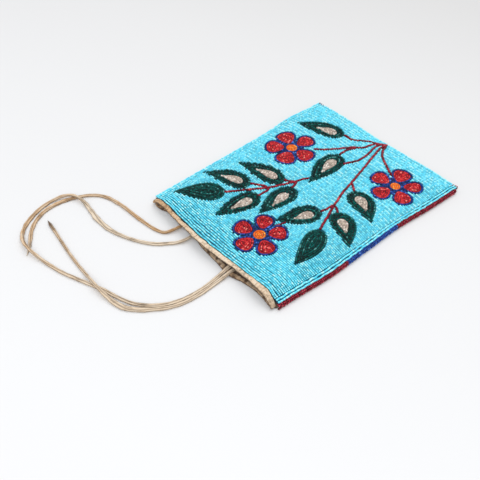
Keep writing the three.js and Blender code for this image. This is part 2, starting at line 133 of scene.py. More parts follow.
# Stems: lines of points in millimetres, from the closed end outwards
STEM_ROOT = (6.4, 117.2)
STEMS = {
    "stem_spray": (
        (STEM_ROOT, (-2.8, 110), (-10, 104.5), (-20.6, 93.2), (-32.5, 92.2)),
        (STEM_ROOT, (-1.9, 106.5), (-4.8, 91.3), (-11.5, 84.2), (-19.4, 70.8), (-27.8, 58.4), (-36, 50)),
        ((-8, 86.5), (-12.6, 76), (-11.9, 63)),
        (STEM_ROOT, (1.5, 106.5), (4.9, 91.8), (6.7, 75.4), (4.5, 67), (0.6, 56.4)),
        (STEM_ROOT, (6.4, 106.5), (12.5, 86.7), (25.7, 40.9), (29.9, 24.3), (36.9, 5.1), (51.2, -29)),
        ((27, 40), (32.2, 36.4), (36.8, 32.4)),
        ((37.2, 5), (42.4, 2.9), (47.8, -1.5)),
        ((36.8, 5), (36.2, -1), (35, -11)),
        (STEM_ROOT, (9.9, 107), (18.7, 95), (31.9, 86), (45.8, 78.4)),
    ),
    "stem_branch": (
        ((-4.5, 16), (-8.3, 10.4), (-10.9, 2), (-17.2, -15.3), (-22.3, -25.9), (-32.1, -42), (-44.7, -63)),
        ((-11.6, 1), (-16.4, -4.4), (-22, -6)),
        ((-10.9, 1.4), (-8.3, -3.6), (-7, -10)),
        ((-22.4, -25.8), (-27, -27.6), (-38, -34.8)),
        ((-22, -25.6), (-19.9, -30.3), (-20, -42)),
    ),
    "stem_short": (((24.2, -46.5), (22.7, -52.5), (21.2, -57)),),
}

# Thong routes in millimetres, from inside the mouth to the far end
TIE_LEFT_ROUTE = (
    (-37, -96, 2.7), (-37.8, -105, 2.8), (-38.6, -114, 3.8), (-39.6, -121, 3.8), (-41.2, -128.5, 2.7),
    (-45.2, -135.8, 1.4), (-54.5, -139.8, 1.2), (-68, -142, 1.2), (-82, -143.4, 1.2), (-96, -144.3, 1.2),
    (-109.5, -146.5, 1.2), (-120.5, -149.5, 1.2), (-129.2, -155, 1.2), (-135.6, -162.5, 1.2),
    (-140, -172, 1.2), (-143, -181.5, 1.2), (-144.4, -192, 1.2), (-143.6, -203, 1.2), (-140, -212.5, 1.2),
    (-134.2, -221.2, 1.2), (-126, -229, 1.2), (-116.5, -235.2, 1.2), (-108, -241, 1.2),
    (-101.8, -246.5, 1.2),
)
HANDLE_ROUTE = (
    (-20, -96, 2.7), (-20.6, -105, 2.8), (-21.4, -114, 3.8), (-22.4, -121, 3.8), (-24, -128.5, 2.7),
    (-28, -136.5, 1.4), (-39.5, -151.5, 1.2), (-57.5, -163.4, 1.2), (-79.5, -171.5, 1.2),
    (-99.5, -173, 1.2), (-117, -171.3, 1.4), (-130, -170.8, 2.9), (-141, -174.2, 4.1), (-148, -182, 3.4),
    (-150.8, -192, 1.8), (-149.8, -203.5, 1.2), (-145.6, -215, 1.2), (-139, -226.5, 1.2),
    (-129.5, -236, 1.6), (-118.5, -241, 3.1), (-107, -242, 4.1), (-94, -240.2, 2.8), (-82.5, -237.6, 1.4),
    (-64.5, -232.9, 1.2), (-49, -226.8, 1.2), (-32.4, -219.8, 1.2), (-20.5, -215, 1.2), (-8, -211.2, 1.2),
    (5, -205.6, 1.2), (14, -198.4, 1.2), (21, -190.2, 1.2), (26.2, -181, 1.2), (29.6, -170, 1.2),
    (31, -157, 1.2), (30.8, -146, 1.2), (29.8, -134, 1.7), (28.8, -121, 3.8), (28.6, -114, 3.8),
    (28.3, -105, 2.8), (28, -96, 2.7),
)
TIE_RIGHT_ROUTE = (
    (33.4, -96, 2.7), (33.7, -105, 2.8), (34, -114, 3.8), (33.8, -121, 3.8), (33.7, -134, 1.7),
    (34.3, -146, 1.2), (34.5, -158, 1.2), (33.1, -171.3, 1.2), (29.8, -182.6, 1.2), (24.6, -192.2, 1.2),
    (17.9, -201.2, 1.2), (12, -207.6, 1.2), (4.6, -213.2, 1.2), (-5.5, -216.6, 1.4), (-16.5, -218.4, 2.6),
    (-28, -219.2, 4.1), (-40, -218.7, 3.2), (-52, -217.9, 1.5), (-62, -217.4, 1.2), (-76, -216.4, 1.2),
    (-93, -214.4, 1.2), (-110, -212.2, 1.2), (-129.6, -209.8, 1.2),
)


def size(label, about, default):
    """A length that a user may change"""
    return FloatProperty(name=label, description=about, default=default, unit="LENGTH", precision=5)


def colour(label, about, default):
    """A colour that a user may change"""
    return FloatVectorProperty(
        name=label, description=about, default=default, subtype="COLOR", min=0.0, max=1.0
    )


def power(label, about, default):
    """A lamp's strength that a user may change"""
    return FloatProperty(name=label, description=about, default=default, unit="POWER")


class BagSizes(bpy.types.PropertyGroup):
    """Sizes of the beads, the bulge of the front and the hide"""

    bead_length: size("Bead length", "Room that one bead takes along its thread", 1.5 * MM)
    bead_width: size("Bead width", "Across one bead", 1.88 * MM)
    row_pitch: size("Row pitch", "From one ground row to the next", 2.05 * MM)
    open_pitch: size("Open pitch", "From row to row close to the mouth, where they lie apart", 2.35 * MM)
    bead_floor: size("Bead floor", "Height of the cloth's top over the table at a seam", 2.5 * MM)
    mouth_rise: size("Mouth rise", "How far the front bulges at the mouth", 5.6 * MM)
    end_rise: size("End rise", "How far the front bulges at the closed end", 4.2 * MM)
    side_ramp: size("Side ramp", "Breadth of the slope down to a side seam", 21 * MM)
    end_ramp: size("End ramp", "Breadth of the slope down to the closed end", 20 * MM)
    petal_length: size("Petal length", "From the flower's middle outwards", 17.8 * MM)
    petal_width: size("Petal width", "Across one petal", 16.0 * MM)
    centre_radius: size("Flower centre", "Radius of the orange middle", 6.2 * MM)
    border_pitch: size("Border pitch", "From one border row to the next", 2.5 * MM)
    border_lean: size("Border lean", "Overhang of the outer border row on the left and the end", 0.3 * MM)
    border_step: size("Border step", "Room that the border leaves the edging on the right", 1.3 * MM)
    stitch_pitch: size("Stitch pitch", "From one edging stitch to the next", 1.85 * MM)
    hide_thickness: size("Hide thickness", "Thickness of the rolled binding", 0.8 * MM)
    thong_width: size("Thong width", "Usual width of a thong", 3.7 * MM)
    thong_thickness: size("Thong thickness", "Thickness of a thong of the usual width", 1.9 * MM)


class BagColours(bpy.types.PropertyGroup):
    """Colours of the beads, hide and cloth"""

    turquoise: colour("Turquoise", "Ground beads", (0.13, 0.82, 1.0))
    petal_red: colour("Petal red", "Petal beads", (0.57, 0.014, 0.024))
    outline_blue: colour("Outline blue", "Beads round the petals", (0.006, 0.03, 0.17))
    centre_orange: colour("Centre orange", "Beads of the flower centres", (1.0, 0.17, 0.012))
    leaf_green: colour("Leaf green", "Leaf beads", (0.001, 0.066, 0.056))
    leaf_pale: colour("Leaf pale", "Beads inside the leaves", (0.58, 0.45, 0.35))
    stem_red: colour("Stem red", "Stem beads", (0.24, 0.003, 0.016))
    edging_red: colour("Edging red", "Edging beads at both ends", (0.27, 0.006, 0.018))
    edging_blue: colour("Edging blue", "Edging beads in the middle", (0.012, 0.065, 0.36))
    hide: colour("Hide", "Back and bindings", (0.80, 0.62, 0.43))
    thong: colour("Thong", "Handle and ties", (0.80, 0.65, 0.47))
    warm_hide: colour("Warm hide", "Hide where it is stained", (0.62, 0.36, 0.16))
    # One dark colour for painted shade along thong fold lines, in wrinkles, under the rolls and inside the
    # mouth, and for worn and streaked hide
    hide_wear_and_shade: colour("Hide crease", "Folds and worn edges of the hide", (0.075, 0.038, 0.02))
    # The cloth is darker than its own colour, as painted shade in the gaps between the ground rows
    cloth: colour("Cloth", "Cloth under the ground beads", (0.012, 0.2, 0.34))
    # Painted shade: a near-black cloth under the motifs and at the mouth, where the gaps between beads lie
    # in shade
    cloth_painted_shade: colour("Dark cloth", "Cloth under the motifs and at the mouth", (0.016, 0.012, 0.014))
    table: colour("Table", "The table top by the camera", (0.838, 0.82, 0.791))
    # Painted shade: the table's colour behind the bag, darker in place of the light's fall-off
    table_far_painted_shade: colour("Far table", "The table top behind the bag", (0.672, 0.65, 0.617))


class BagLight(bpy.types.PropertyGroup):
    """Strength of the lamps"""

    key_power: power("Key", "Lamp behind the bag", 27.5)
    fill_power: power("Fill", "Broad lamp by the camera", 23.5)
    sky: FloatProperty(name="Sky", description="Even light from all round", default=0.665)


def sizes():
    return bpy.context.scene.bag_sizes


def colours():
    return bpy.context.scene.bag_colours


# Shapes on the flat face, in metres


def in_metres(points):
    return np.array(points, float) * MM


def half_width(y):
    return MOUTH_HALF + (END_HALF - MOUTH_HALF) * (y - MOUTH_Y) / FACE_LENGTH


def bell(x, middle, spread):
    """A smooth hump of height 1"""
    return np.exp(-(((x - middle) / spread) ** 2))


def humps(at, *each):
    """Smooth humps along a line, each with its height, middle and spread in millimetres"""
    return sum(height * MM * bell(at, middle * MM, spread * MM) for height, middle, spread in each)


def unit(vectors):
    return vectors / np.linalg.norm(vectors, axis=-1, keepdims=True)


RIPPLE_LENGTHS = (0.55, 1.6)
RIPPLE_PEAK = 1.4


def ripple(points, length, seed, waves=9):
    """Smooth uneven ripples of about that length, between -1 and 1"""
    draw = np.random.default_rng(seed)
    points = np.asarray(points, float)
    facing = draw.normal(size=(waves, points.shape[-1]))
    facing /= np.linalg.norm(facing, axis=1, keepdims=True)
    turns = 2 * math.pi / length * draw.uniform(*RIPPLE_LENGTHS, size=(waves, 1))
    phase = draw.uniform(0, 2 * math.pi, size=waves)
    return np.sin(points @ (facing * turns).T + phase).sum(axis=-1) / math.sqrt(waves) / RIPPLE_PEAK


def smooth_path(points, step):
    """A smooth line through the points, as close points"""
    points = np.asarray(points, float)
    ends = np.vstack((2 * points[0] - points[1], points, 2 * points[-1] - points[-2]))
    line = []
    for a, b, c, d in zip(ends, ends[1:], ends[2:], ends[3:]):
        count = max(2, int(np.linalg.norm(c - b) / step))
        t = np.linspace(0, 1, count, endpoint=False)[:, None]
        bend = (2 * a - 5 * b + 4 * c - d) * t**2 + (3 * b - a - 3 * c + d) * t**3
        line.append(0.5 * (2 * b + (c - a) * t + bend))
    return np.vstack((*line, points[-1:]))


def evenly(points, spacing, closed=False):
    """Places at even steps along a line, with the line's direction at each"""
    if closed:
        points = np.vstack((points, points[:1]))
    runs = np.linalg.norm(np.diff(points, axis=0), axis=1)
    reach = np.concatenate(([0], np.cumsum(runs)))
    count = max(3 if closed else 1, round(reach[-1] / spacing))
    at = (np.arange(count) + 0.5) * reach[-1] / count
    spot, ahead, behind = (
        [np.interp(at + shift, reach, points[:, k]) for k in range(2)]
        for shift in (0, spacing / 2, -spacing / 2)
    )
    angle = np.arctan2(ahead[1] - behind[1], ahead[0] - behind[0])
    return np.stack((*spot, angle), axis=1)


def uncrowded(beads, taken, room):
    """The beads that lie clear of those already taken and of each other"""
    kept = [np.asarray(b) for b in taken]
    fresh = []
    for bead in beads:
        if not kept or np.min(np.linalg.norm(np.array(kept)[:, :2] - bead[:2], axis=1)) >= room:
            kept.append(bead)
            fresh.append(bead)
    return np.array(fresh).reshape(-1, 3)


def inside(points, outline):
    """True for each point that lies inside a closed outline"""
    x, y = points[:, 0, None], points[:, 1, None]
    x0, y0 = outline[:, 0], outline[:, 1]
    x1, y1 = np.roll(x0, -1), np.roll(y0, -1)
    spans = (y0 > y) != (y1 > y)
    rise_share = np.divide(y - y0, y1 - y0, out=np.zeros_like(y - y0), where=spans)
    return (spans & (x < x0 + rise_share * (x1 - x0))).sum(axis=1) % 2 == 1


def egg(middle, angle, length, width, points=96):
    """An egg outline with its wide end outwards along the angle"""
    turn = np.linspace(0, 2 * math.pi, points, endpoint=False)
    along = length / 2 * np.cos(turn)
    across = width / 2 * np.sin(turn) * (1 + PETAL_EGG * np.cos(turn))
    out = np.array((math.cos(angle), math.sin(angle)))
    return middle + along[:, None] * out + across[:, None] * np.array((-out[1], out[0]))


def teardrop(tip, heel, width, bend, sharpness=LEAF_SHARPNESS, points=180):
    """A teardrop outline from a sharp tip to a round heel"""
    tip, heel = in_metres(tip), in_metres(heel)
    forward = (heel - tip) / np.linalg.norm(heel - tip)
    turn = np.linspace(0, 2 * math.pi, points, endpoint=False)
    share = (1 - np.cos(turn)) / 2
    taper = np.sin(turn) * np.abs(np.sin(turn / 2)) ** sharpness
    across = taper / taper.max() * width * MM / 2 + bend * MM * np.sin(math.pi * share)
    side = np.array((-forward[1], forward[0]))
    return tip + share[:, None] * (heel - tip) + across[:, None] * side


def longer(tip, heel, more):
    """A tip moved away from its heel, in millimetres"""
    tip, heel = np.array(tip), np.array(heel)
    return tip + more * (tip - heel) / np.linalg.norm(tip - heel)


def inset(outline, depth):
    """The parts of a line that runs inside a closed outline at one depth, and whether it closes"""
    ahead = np.roll(outline, -1, axis=0) - np.roll(outline, 1, axis=0)
    turned = np.cross(outline - outline.mean(axis=0), ahead).sum()
    inward = np.sign(turned) * unit(np.stack((-ahead[:, 1], ahead[:, 0]), 1))
    line = outline + depth * inward
    gaps = np.linalg.norm(line[:, None] - outline[None], axis=2).min(axis=1)
    kept = gaps > 0.98 * depth
    if kept.all():
        return [line], True
    first = int(np.argmin(kept))
    kept, line = np.roll(kept, -first), np.roll(line, -first, axis=0)
    ends = np.flatnonzero(np.diff(np.concatenate(((0,), kept.astype(int), (0,)))))
    return [line[a:b] for a, b in ends.reshape(-1, 2) if b - a > 1], False


def filled(beads, outline, room=HOLE_ROOM):
    """The beads with more in every hole that has room for one"""
    width = sizes().bead_width
    low, high = outline.min(axis=0), outline.max(axis=0)
    sides = [np.arange(a, b, 0.3 * width) for a, b in zip(low, high)]
    spots = np.stack(np.meshgrid(*sides), -1).reshape(-1, 2)
    spots = spots[inside(spots, outline)]
    gaps = np.linalg.norm(spots[:, None] - beads[None, :, :2], axis=2)
    extra = np.column_stack((spots, beads[gaps.argmin(axis=1), 2]))
    return np.vstack((beads, uncrowded(extra[gaps.min(axis=1) > room * width], [], room * width)))


def nested(outline, room=HOLE_ROOM):
    """Beads in rows inside a closed outline, each row within the last"""
    s = sizes()
    rows = []
    depth = s.bead_width / 2
    while True:
        runs, closed = inset(outline, depth)
        if not runs:
            return filled(uncrowded(np.vstack(rows), [], 0.8 * s.bead_length), outline, room)
        rows += [evenly(run, s.bead_length, closed) for run in runs]
        depth += RING_PITCH * s.bead_width


# The bulging front of the bag


# How rows and seams stray, as humps: height, middle and spread in millimetres
MOUTH_PUCKER = (1.1, 66, 11)
MOUTH_DRIFT = ((-3.3, -13, 42), (1.2, 72, 11))
RIGHT_SWAY = ((2.0, -58, 30), (-2.1, 33, 32))
LEFT_SWAY = ((-3.0, 72, 26),)
END_WAVES = ((1.0, -52, 22), (-0.9, -8, 20), (0.9, 62, 16))
END_BOW = 1.9 * MM
STEEPER_MOUTH = 0.38
RAMP_BLEND = 0.7 * MM
FACE_SWELL = 0.45 * MM


def near_mouth(y, reach):
    return np.exp(-np.clip(y - MOUTH_Y, 0, None) / reach)


def rise(x, y):
    """How far the front stands over its seams"""
    s = sizes()
    top = s.mouth_rise + (s.end_rise - s.mouth_rise) * (y - MOUTH_Y) / FACE_LENGTH
    steep = s.mouth_rise / (s.side_ramp * (1 - STEEPER_MOUTH * near_mouth(y, 25 * MM)))
    reach = half_width(y)
    planes = (top, (reach - x) * steep, (reach + x) * steep, (END_Y - y) * s.end_rise / s.end_ramp)
    dome = -RAMP_BLEND * np.log(sum(np.exp(-plane / RAMP_BLEND) for plane in planes))
    inner = np.clip(dome / s.end_rise, 0, 1)
    swell = FACE_SWELL * inner * ripple(np.stack((x, y), -1), 75 * MM, 4)
    pucker = humps(x, MOUTH_PUCKER) * near_mouth(y, 14 * MM)
    return np.clip(dome, 0, None) + swell + pucker


def drift(x, y):
    """How far the rows wander along the bag, most of all at the mouth"""
    seam = np.clip((half_width(y) - np.abs(x)) / (10 * MM), 0, 1)
    mouth = humps(x, *MOUTH_DRIFT) * near_mouth(y, 22 * MM)
    wander = 0.35 * MM * ripple(np.stack((x, y), -1), 55 * MM, 9)
    slack = (0.1 + 0.3 * near_mouth(y, 26 * MM)) * MM
    return seam * (mouth + wander + slack * ripple(np.stack((x, 3 * y), -1), 15 * MM, 33))


def sway(x, y):
    """How far the two sides swing out and in along the bag"""
    seam = 1 - np.clip((half_width(y) - np.abs(x)) / (25 * MM), 0, 1)
    return seam * np.where(x > 0, humps(y, *RIGHT_SWAY), humps(y, *LEFT_SWAY))


def bow(x, y):
    """How far the closed end runs out past a straight line"""
    return (END_BOW + humps(x, *END_WAVES)) * np.exp(np.clip(y - END_Y, None, 0) / (25 * MM))


def on_seam(x, y):
    """A place along the straight seams moved to the wavy ones"""
    return x + sway(x, y), y + bow(x, y)


def on_face(x, y, height):
    return np.stack((x + sway(x, y), y + drift(x, y) + bow(x, y), height + rise(x, y)), -1)


def face_frames(beads, height):
    """Place, thread direction and upright of each bead on the face"""
    x, y, angle = beads.T
    step = 0.2 * MM
    across = on_face(x + step, y, height) - on_face(x - step, y, height)
    along = on_face(x, y + step, height) - on_face(x, y - step, height)
    upright = unit(np.cross(across, along))
    thread = unit(np.cos(angle)[:, None] * across + np.sin(angle)[:, None] * along)
    return on_face(x, y, height), thread, upright


# The beads of each motif, as x, y and thread angle on the face


def strand(outline):
    """Beads along a closed outline"""
    return evenly(outline, sizes().bead_length, closed=True)


def petal_outlines(flower, margin):
    centre, _, growth, petals = FLOWERS[flower]
    s = sizes()
    length, width = growth * s.petal_length, growth * s.petal_width
    reach = s.centre_radius + PETAL_GAP + length / 2
    outlines = []
    for turn, breadth in petals:
        angle = math.radians(turn)
        middle = in_metres(centre) + reach * np.array((math.cos(angle), math.sin(angle)))
        outlines.append(egg(middle, angle, length + 2 * margin, breadth * width + 2 * margin))
    return outlines


def circle(middle, radius, points=32):
    turn = np.linspace(0, 2 * math.pi, points, endpoint=False)
    return in_metres(middle) + radius * np.stack((np.cos(turn), np.sin(turn)), 1)


def flower_beads(flower):
    """Beads of one flower by node"""
    s = sizes()
    middle, share, *_ = FLOWERS[flower]
    radius = share * s.centre_radius
    found = {}
    for k, outline in enumerate(petal_outlines(flower, 0)):
        found[f"{flower}_petal_{k + 1}"] = nested(outline, PETAL_HOLE)
    found[f"{flower}_centre"] = nested(circle(middle, radius))
    line = [strand(circle(middle, radius + s.bead_width / 2))]
    for outline in petal_outlines(flower, OUTLINE_OUT * s.bead_width):
        line.append(uncrowded(strand(outline), np.vstack(line), OUTLINE_ROOM * s.bead_width))
    whole = np.vstack((*found.values(), *line))
    between = filled(whole, circle(middle, s.centre_radius + FLOWER_HEART))[len(whole):]
    found[f"{flower}_outline"] = np.vstack((*line, between))
    return found


def leaf_outline(leaf):
    tip, heel, *rest = LEAVES[leaf][0]
    return teardrop(longer(tip, heel, LEAF_POINT), heel, *rest)


def leaf_beads(leaf):
    """Beads of one leaf by node: green rows, and pale ones inside them"""
    _, pale = LEAVES[leaf]
    s = sizes()
    outline = leaf_outline(leaf)
    green = nested(outline)
    if pale is None:
        return {leaf: green}
    tip, heel = longer(pale[0], pale[1], -PALE_SHORT), longer(pale[1], pale[0], -PALE_SHORT / 2)
    centre = teardrop(tip, heel, *pale[2:], PALE_SHARPNESS)
    inner = nested(centre, PALE_HOLE)
    clear = uncrowded(green[~inside(green, centre)], inner, HOLE_ROOM * s.bead_width)
    both = filled(np.vstack((inner, clear)), outline)
    return {leaf: both[len(inner):], f"{leaf}_centre": inner}


def motif_fields():
    """The outlines of the leaves and petals"""
    fields = [teardrop(*shape) for shape, _ in LEAVES.values()]
    for flower in FLOWERS:
        fields += petal_outlines(flower, 0)
    return fields


@lru_cache(maxsize=None)
def motif_beads():
    """Every motif's beads by node: flowers, leaves, then the stems that run up to them"""
    found = {}
    for flower in FLOWERS:
        found.update(flower_beads(flower))
    for leaf in LEAVES:
        found.update(leaf_beads(leaf))
    for stem, lines in STEMS.items():
        taken = np.vstack(list(found.values()))
        grown = np.empty((0, 3))
        for line in lines:
            path = smooth_path(in_metres(line), 0.5 * MM)
            path += STEM_WANDER * np.stack([ripple(path, 8 * MM, seed) for seed in (21, 22)], 1)
            fresh = evenly(path, sizes().bead_length)
            crowd = np.vstack((taken, grown))
            grown = np.vstack((grown, uncrowded(fresh, crowd, STEM_ROOM * sizes().bead_width)))
        found[stem] = grown
    return found


def seam_reach(side, y):
    """How far out the border's outer row lies, on the left (-1) or the right (1)"""
    s = sizes()
    return half_width(y) + s.border_lean - (s.border_step if side > 0 else 0)


def border_beads():
    """Two rows along each side seam"""
    s = sizes()
    y = np.linspace(MOUTH_Y + 0.4 * s.bead_length, END_Y + s.border_lean, 60)
    rows = []
    for side in (-1, 1):
        for row in range(BORDER_ROWS):
            wave = 0.5 * MM * ripple(y[:, None], 10 * MM, 60 + row)
            x = side * (seam_reach(side, y) - row * s.border_pitch) + wave
            rows.append(evenly(np.stack((x, y), 1), s.bead_length))
    return np.vstack(rows)


def free_runs(y, taken, fields):
    """Stretches of a ground row that no motif takes, each a little into its neighbours"""
    s = sizes()
    border = (BORDER_ROWS - 0.4) * s.border_pitch
    left, right = border - seam_reach(-1, y), seam_reach(1, y) - border
    x = np.linspace(left, right, int((right - left) / RUN_STEP))
    free = np.array([taken.find((at, y, 0))[2] > MOTIF_ROOM * s.bead_width for at in x])
    row = np.stack((x, np.full_like(x, y)), 1)
    for field in fields:
        if field[:, 1].min() < y < field[:, 1].max():
            free &= ~inside(row, field)
    ends = np.flatnonzero(np.diff(np.concatenate(((0,), free.astype(int), (0,)))))
    grow = ROW_OVERLAP * s.bead_width
    return [(max(left, x[a] - grow), min(right, x[b - 1] + grow)) for a, b in ends.reshape(-1, 2)]


def row_lines():
    """Where the ground rows lie: wide apart at the mouth, the last one over the end seam"""
    s = sizes()
    first, last = MOUTH_Y + 0.5 * s.row_pitch, END_Y + s.border_lean
    lines = [first]
    while lines[-1] < last:
        wider = (s.open_pitch - s.row_pitch) * near_mouth(lines[-1] - 3 * s.row_pitch, 2 * s.row_pitch)
        lines.append(lines[-1] + s.row_pitch + wider)
    return first + (np.array(lines) - first) * (last - first) / (lines[-1] - first)


def row_tones_and_shade(y):
    """How much lighter or darker each bead is for its row: a little at random, and by painted shade and
    light that swap from row to row, more towards the closed end
    """
    lines = row_lines()
    growing = np.clip((lines - CONTRAST_FROM) / CONTRAST_REACH, 0, 1)
    step = np.where(np.arange(len(lines)) % 2, 1, -1) * growing
    tones = ROW_SHADE_AMOUNT * step + ROW_SPREAD * np.random.default_rng(31).normal(size=len(lines))
    return tones[np.abs(y[:, None] - lines).argmin(axis=1)]


def ground_beads():
    """Rows across the face, with the motifs left free"""
    s = sizes()
    motifs = np.vstack(list(motif_beads().values()))
    taken = kdtree.KDTree(len(motifs))
    for i, (x, y, _) in enumerate(motifs):
        taken.insert((x, y, 0), i)
    taken.balance()
    fields = motif_fields()
    rows = []
    for y in row_lines():
        for low, high in free_runs(y, taken, fields):
            if high - low > 0.6 * s.bead_length:
                rows.append(evenly(np.array(((low, y), (high, y))), s.bead_length))
    return np.vstack(rows)


# Meshes


def clear_selection():
    bpy.ops.object.select_all(action="DESELECT")


def finish_piece(piece, name, material, slot_name, *nodes):
    """Names a piece, gives it its material and sets it in the frame in place of CAD nodes"""
    piece.name = piece.data.name = name
    piece.data.materials.clear()
    piece.data.materials.append(material)
    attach(piece, BODY)
    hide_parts(*nodes)


def grid_piece(columns, rows, shape):
    """A grid whose points are set by a shape of two shares, each from 0 to 1"""
    clear_selection()
    bpy.ops.mesh.primitive_grid_add(x_subdivisions=columns, y_subdivisions=rows, size=2)
    piece = bpy.context.object
    places = np.empty(len(piece.data.vertices) * 3)
    piece.data.vertices.foreach_get("co", places)
    shares = (places.reshape(-1, 3)[:, :2] + 1) / 2
    piece.data.vertices.foreach_set("co", shape(shares[:, 0], shares[:, 1]).ravel())
    piece.data.update()
    bpy.ops.object.shade_smooth()
    return piece, shares.T


def mark(piece, **values):
    """Stores values on a piece's points for its material"""
    for name, value in values.items():
        kind, field = ("FLOAT_VECTOR", "vector") if value.ndim == 2 else ("FLOAT", "value")
        attribute = piece.data.attributes.new(name, kind, "POINT")
        attribute.data.foreach_set(field, value.astype(np.float32).ravel())


def thicken(piece, thickness, offset):
    """Gives a sheet its thickness"""
    wall = piece.modifiers.new("Thickness", "SOLIDIFY")
    wall.thickness = thickness
    wall.offset = offset
    bpy.ops.object.modifier_apply(modifier=wall.name)


def face_outwards():
    """Merges a shape's seam, closes its ends and turns its faces outwards"""
    bpy.ops.object.mode_set(mode="EDIT")
    bpy.ops.mesh.select_all(action="SELECT")
    bpy.ops.mesh.remove_doubles(threshold=0.001 * MM)
    bpy.ops.mesh.fill_holes(sides=0)
    bpy.ops.mesh.select_all(action="SELECT")
    bpy.ops.mesh.normals_make_consistent(inside=False)
    bpy.ops.object.mode_set(mode="OBJECT")


BEAD_SIDES = 6
BEAD_BEVEL = 0.15


@lru_cache(maxsize=None)
def bead_shape(round_sides):
    """One bead of unit size with its thread along X, bevelled at its ends or all over: points and faces"""
    clear_selection()
    bpy.ops.mesh.primitive_cylinder_add(
        vertices=BEAD_SIDES, radius=0.5, depth=1, rotation=(0, math.pi / 2, 0)
    )
    bead = bpy.context.object
    bpy.ops.object.transform_apply(location=True, rotation=True, scale=True)
    bpy.ops.object.mode_set(mode="EDIT")
    bpy.ops.mesh.select_mode(type="FACE")
    bpy.ops.mesh.select_all(action="DESELECT")
    bpy.ops.object.mode_set(mode="OBJECT")
    for face in bead.data.polygons:
        face.select = round_sides or abs(face.normal.x) > 0.9
    bpy.ops.object.mode_set(mode="EDIT")
    bpy.ops.mesh.bevel(offset=BEAD_BEVEL, segments=1, affect="EDGES")
    bpy.ops.object.mode_set(mode="OBJECT")
    points = np.array([v.co for v in bead.data.vertices])
    faces = [tuple(face.vertices) for face in bead.data.polygons]
    bpy.ops.object.delete()
    return points, faces


# How uneven beads are: the turn of their threads and tops, their lift, and the spread of their sizes
THREAD_TURN = 0.05
TOP_TURN = 0.08
BEAD_LIFT = 0.05 * MM
LENGTH_SPREAD = 0.045
WIDTH_SPREAD = 0.05
LENGTH_FILLED = 0.97


def bead_piece(frames, scale=1.0, loose=1.0, spread=1.0, shift=0.0, round_sides=True):
    """Copies of the bead on the given frames, each a little uneven and with its own tone"""
    places, thread, upright = frames
    s = sizes()
    draw = np.random.default_rng(len(places))
    count = len(places)
    thread = unit(thread + loose * THREAD_TURN * draw.normal(size=(count, 3)))
    upright = upright + loose * TOP_TURN * draw.normal(size=(count, 3))
    side = unit(np.cross(upright, thread))
    upright = np.cross(thread, side)
    places = places + upright * (loose * BEAD_LIFT * draw.normal(size=(count, 1)))
    long = s.bead_length * LENGTH_FILLED * draw.normal(1, LENGTH_SPREAD, size=(count, 1, 1))
    wide = s.bead_width * scale * draw.normal(1, WIDTH_SPREAD, size=(count, 1, 1))
    points, faces = bead_shape(round_sides)
    shape = points[None] * np.concatenate((long, wide, wide), axis=2)
    turned = shape @ np.stack((thread, side, upright), axis=1)
    corners = (places[:, None] + turned).reshape(-1, 3)
    starts = np.arange(count) * len(points)
    mesh = bpy.data.meshes.new("beads")
    mesh.from_pydata(corners, [], [tuple(i + start for i in face) for start in starts for face in faces])
    lay_out_map(mesh, points, count)
    mesh.shade_smooth()
    piece = bpy.data.objects.new("beads", mesh)
    bpy.context.scene.collection.objects.link(piece)
    tone = np.clip(0.5 + spread * (draw.uniform(size=count) - 0.5) + shift, 0, 1)
    # Painted shade: a share that darkens each bead's sides, where shade falls between the rows
    lean = np.degrees(np.arctan2(np.abs(points[:, 1]), points[:, 2]))
    groove = np.clip((lean - 30) / 60, 0, 1)
    mark(piece, bead_tone=np.repeat(tone, len(points)), groove=np.tile(groove, count))
    return piece


def lay_out_map(mesh, points, count):
    """Gives each bead a square of its own on the map"""
    across = math.ceil(math.sqrt(count))
    square = (points[:, :2] + 0.5) * 0.8 + 0.1
    cells = np.stack((np.arange(count) % across, np.arange(count) // across), 1)
    spots = ((cells[:, None] + square[None]) / across).reshape(-1, 2)
    corners = np.empty(len(mesh.loops), np.int32)
    mesh.loops.foreach_get("vertex_index", corners)
    mesh.uv_layers.new(name="OFBake").data.foreach_set("uv", spots[corners].astype(np.float32).ravel())


# Materials


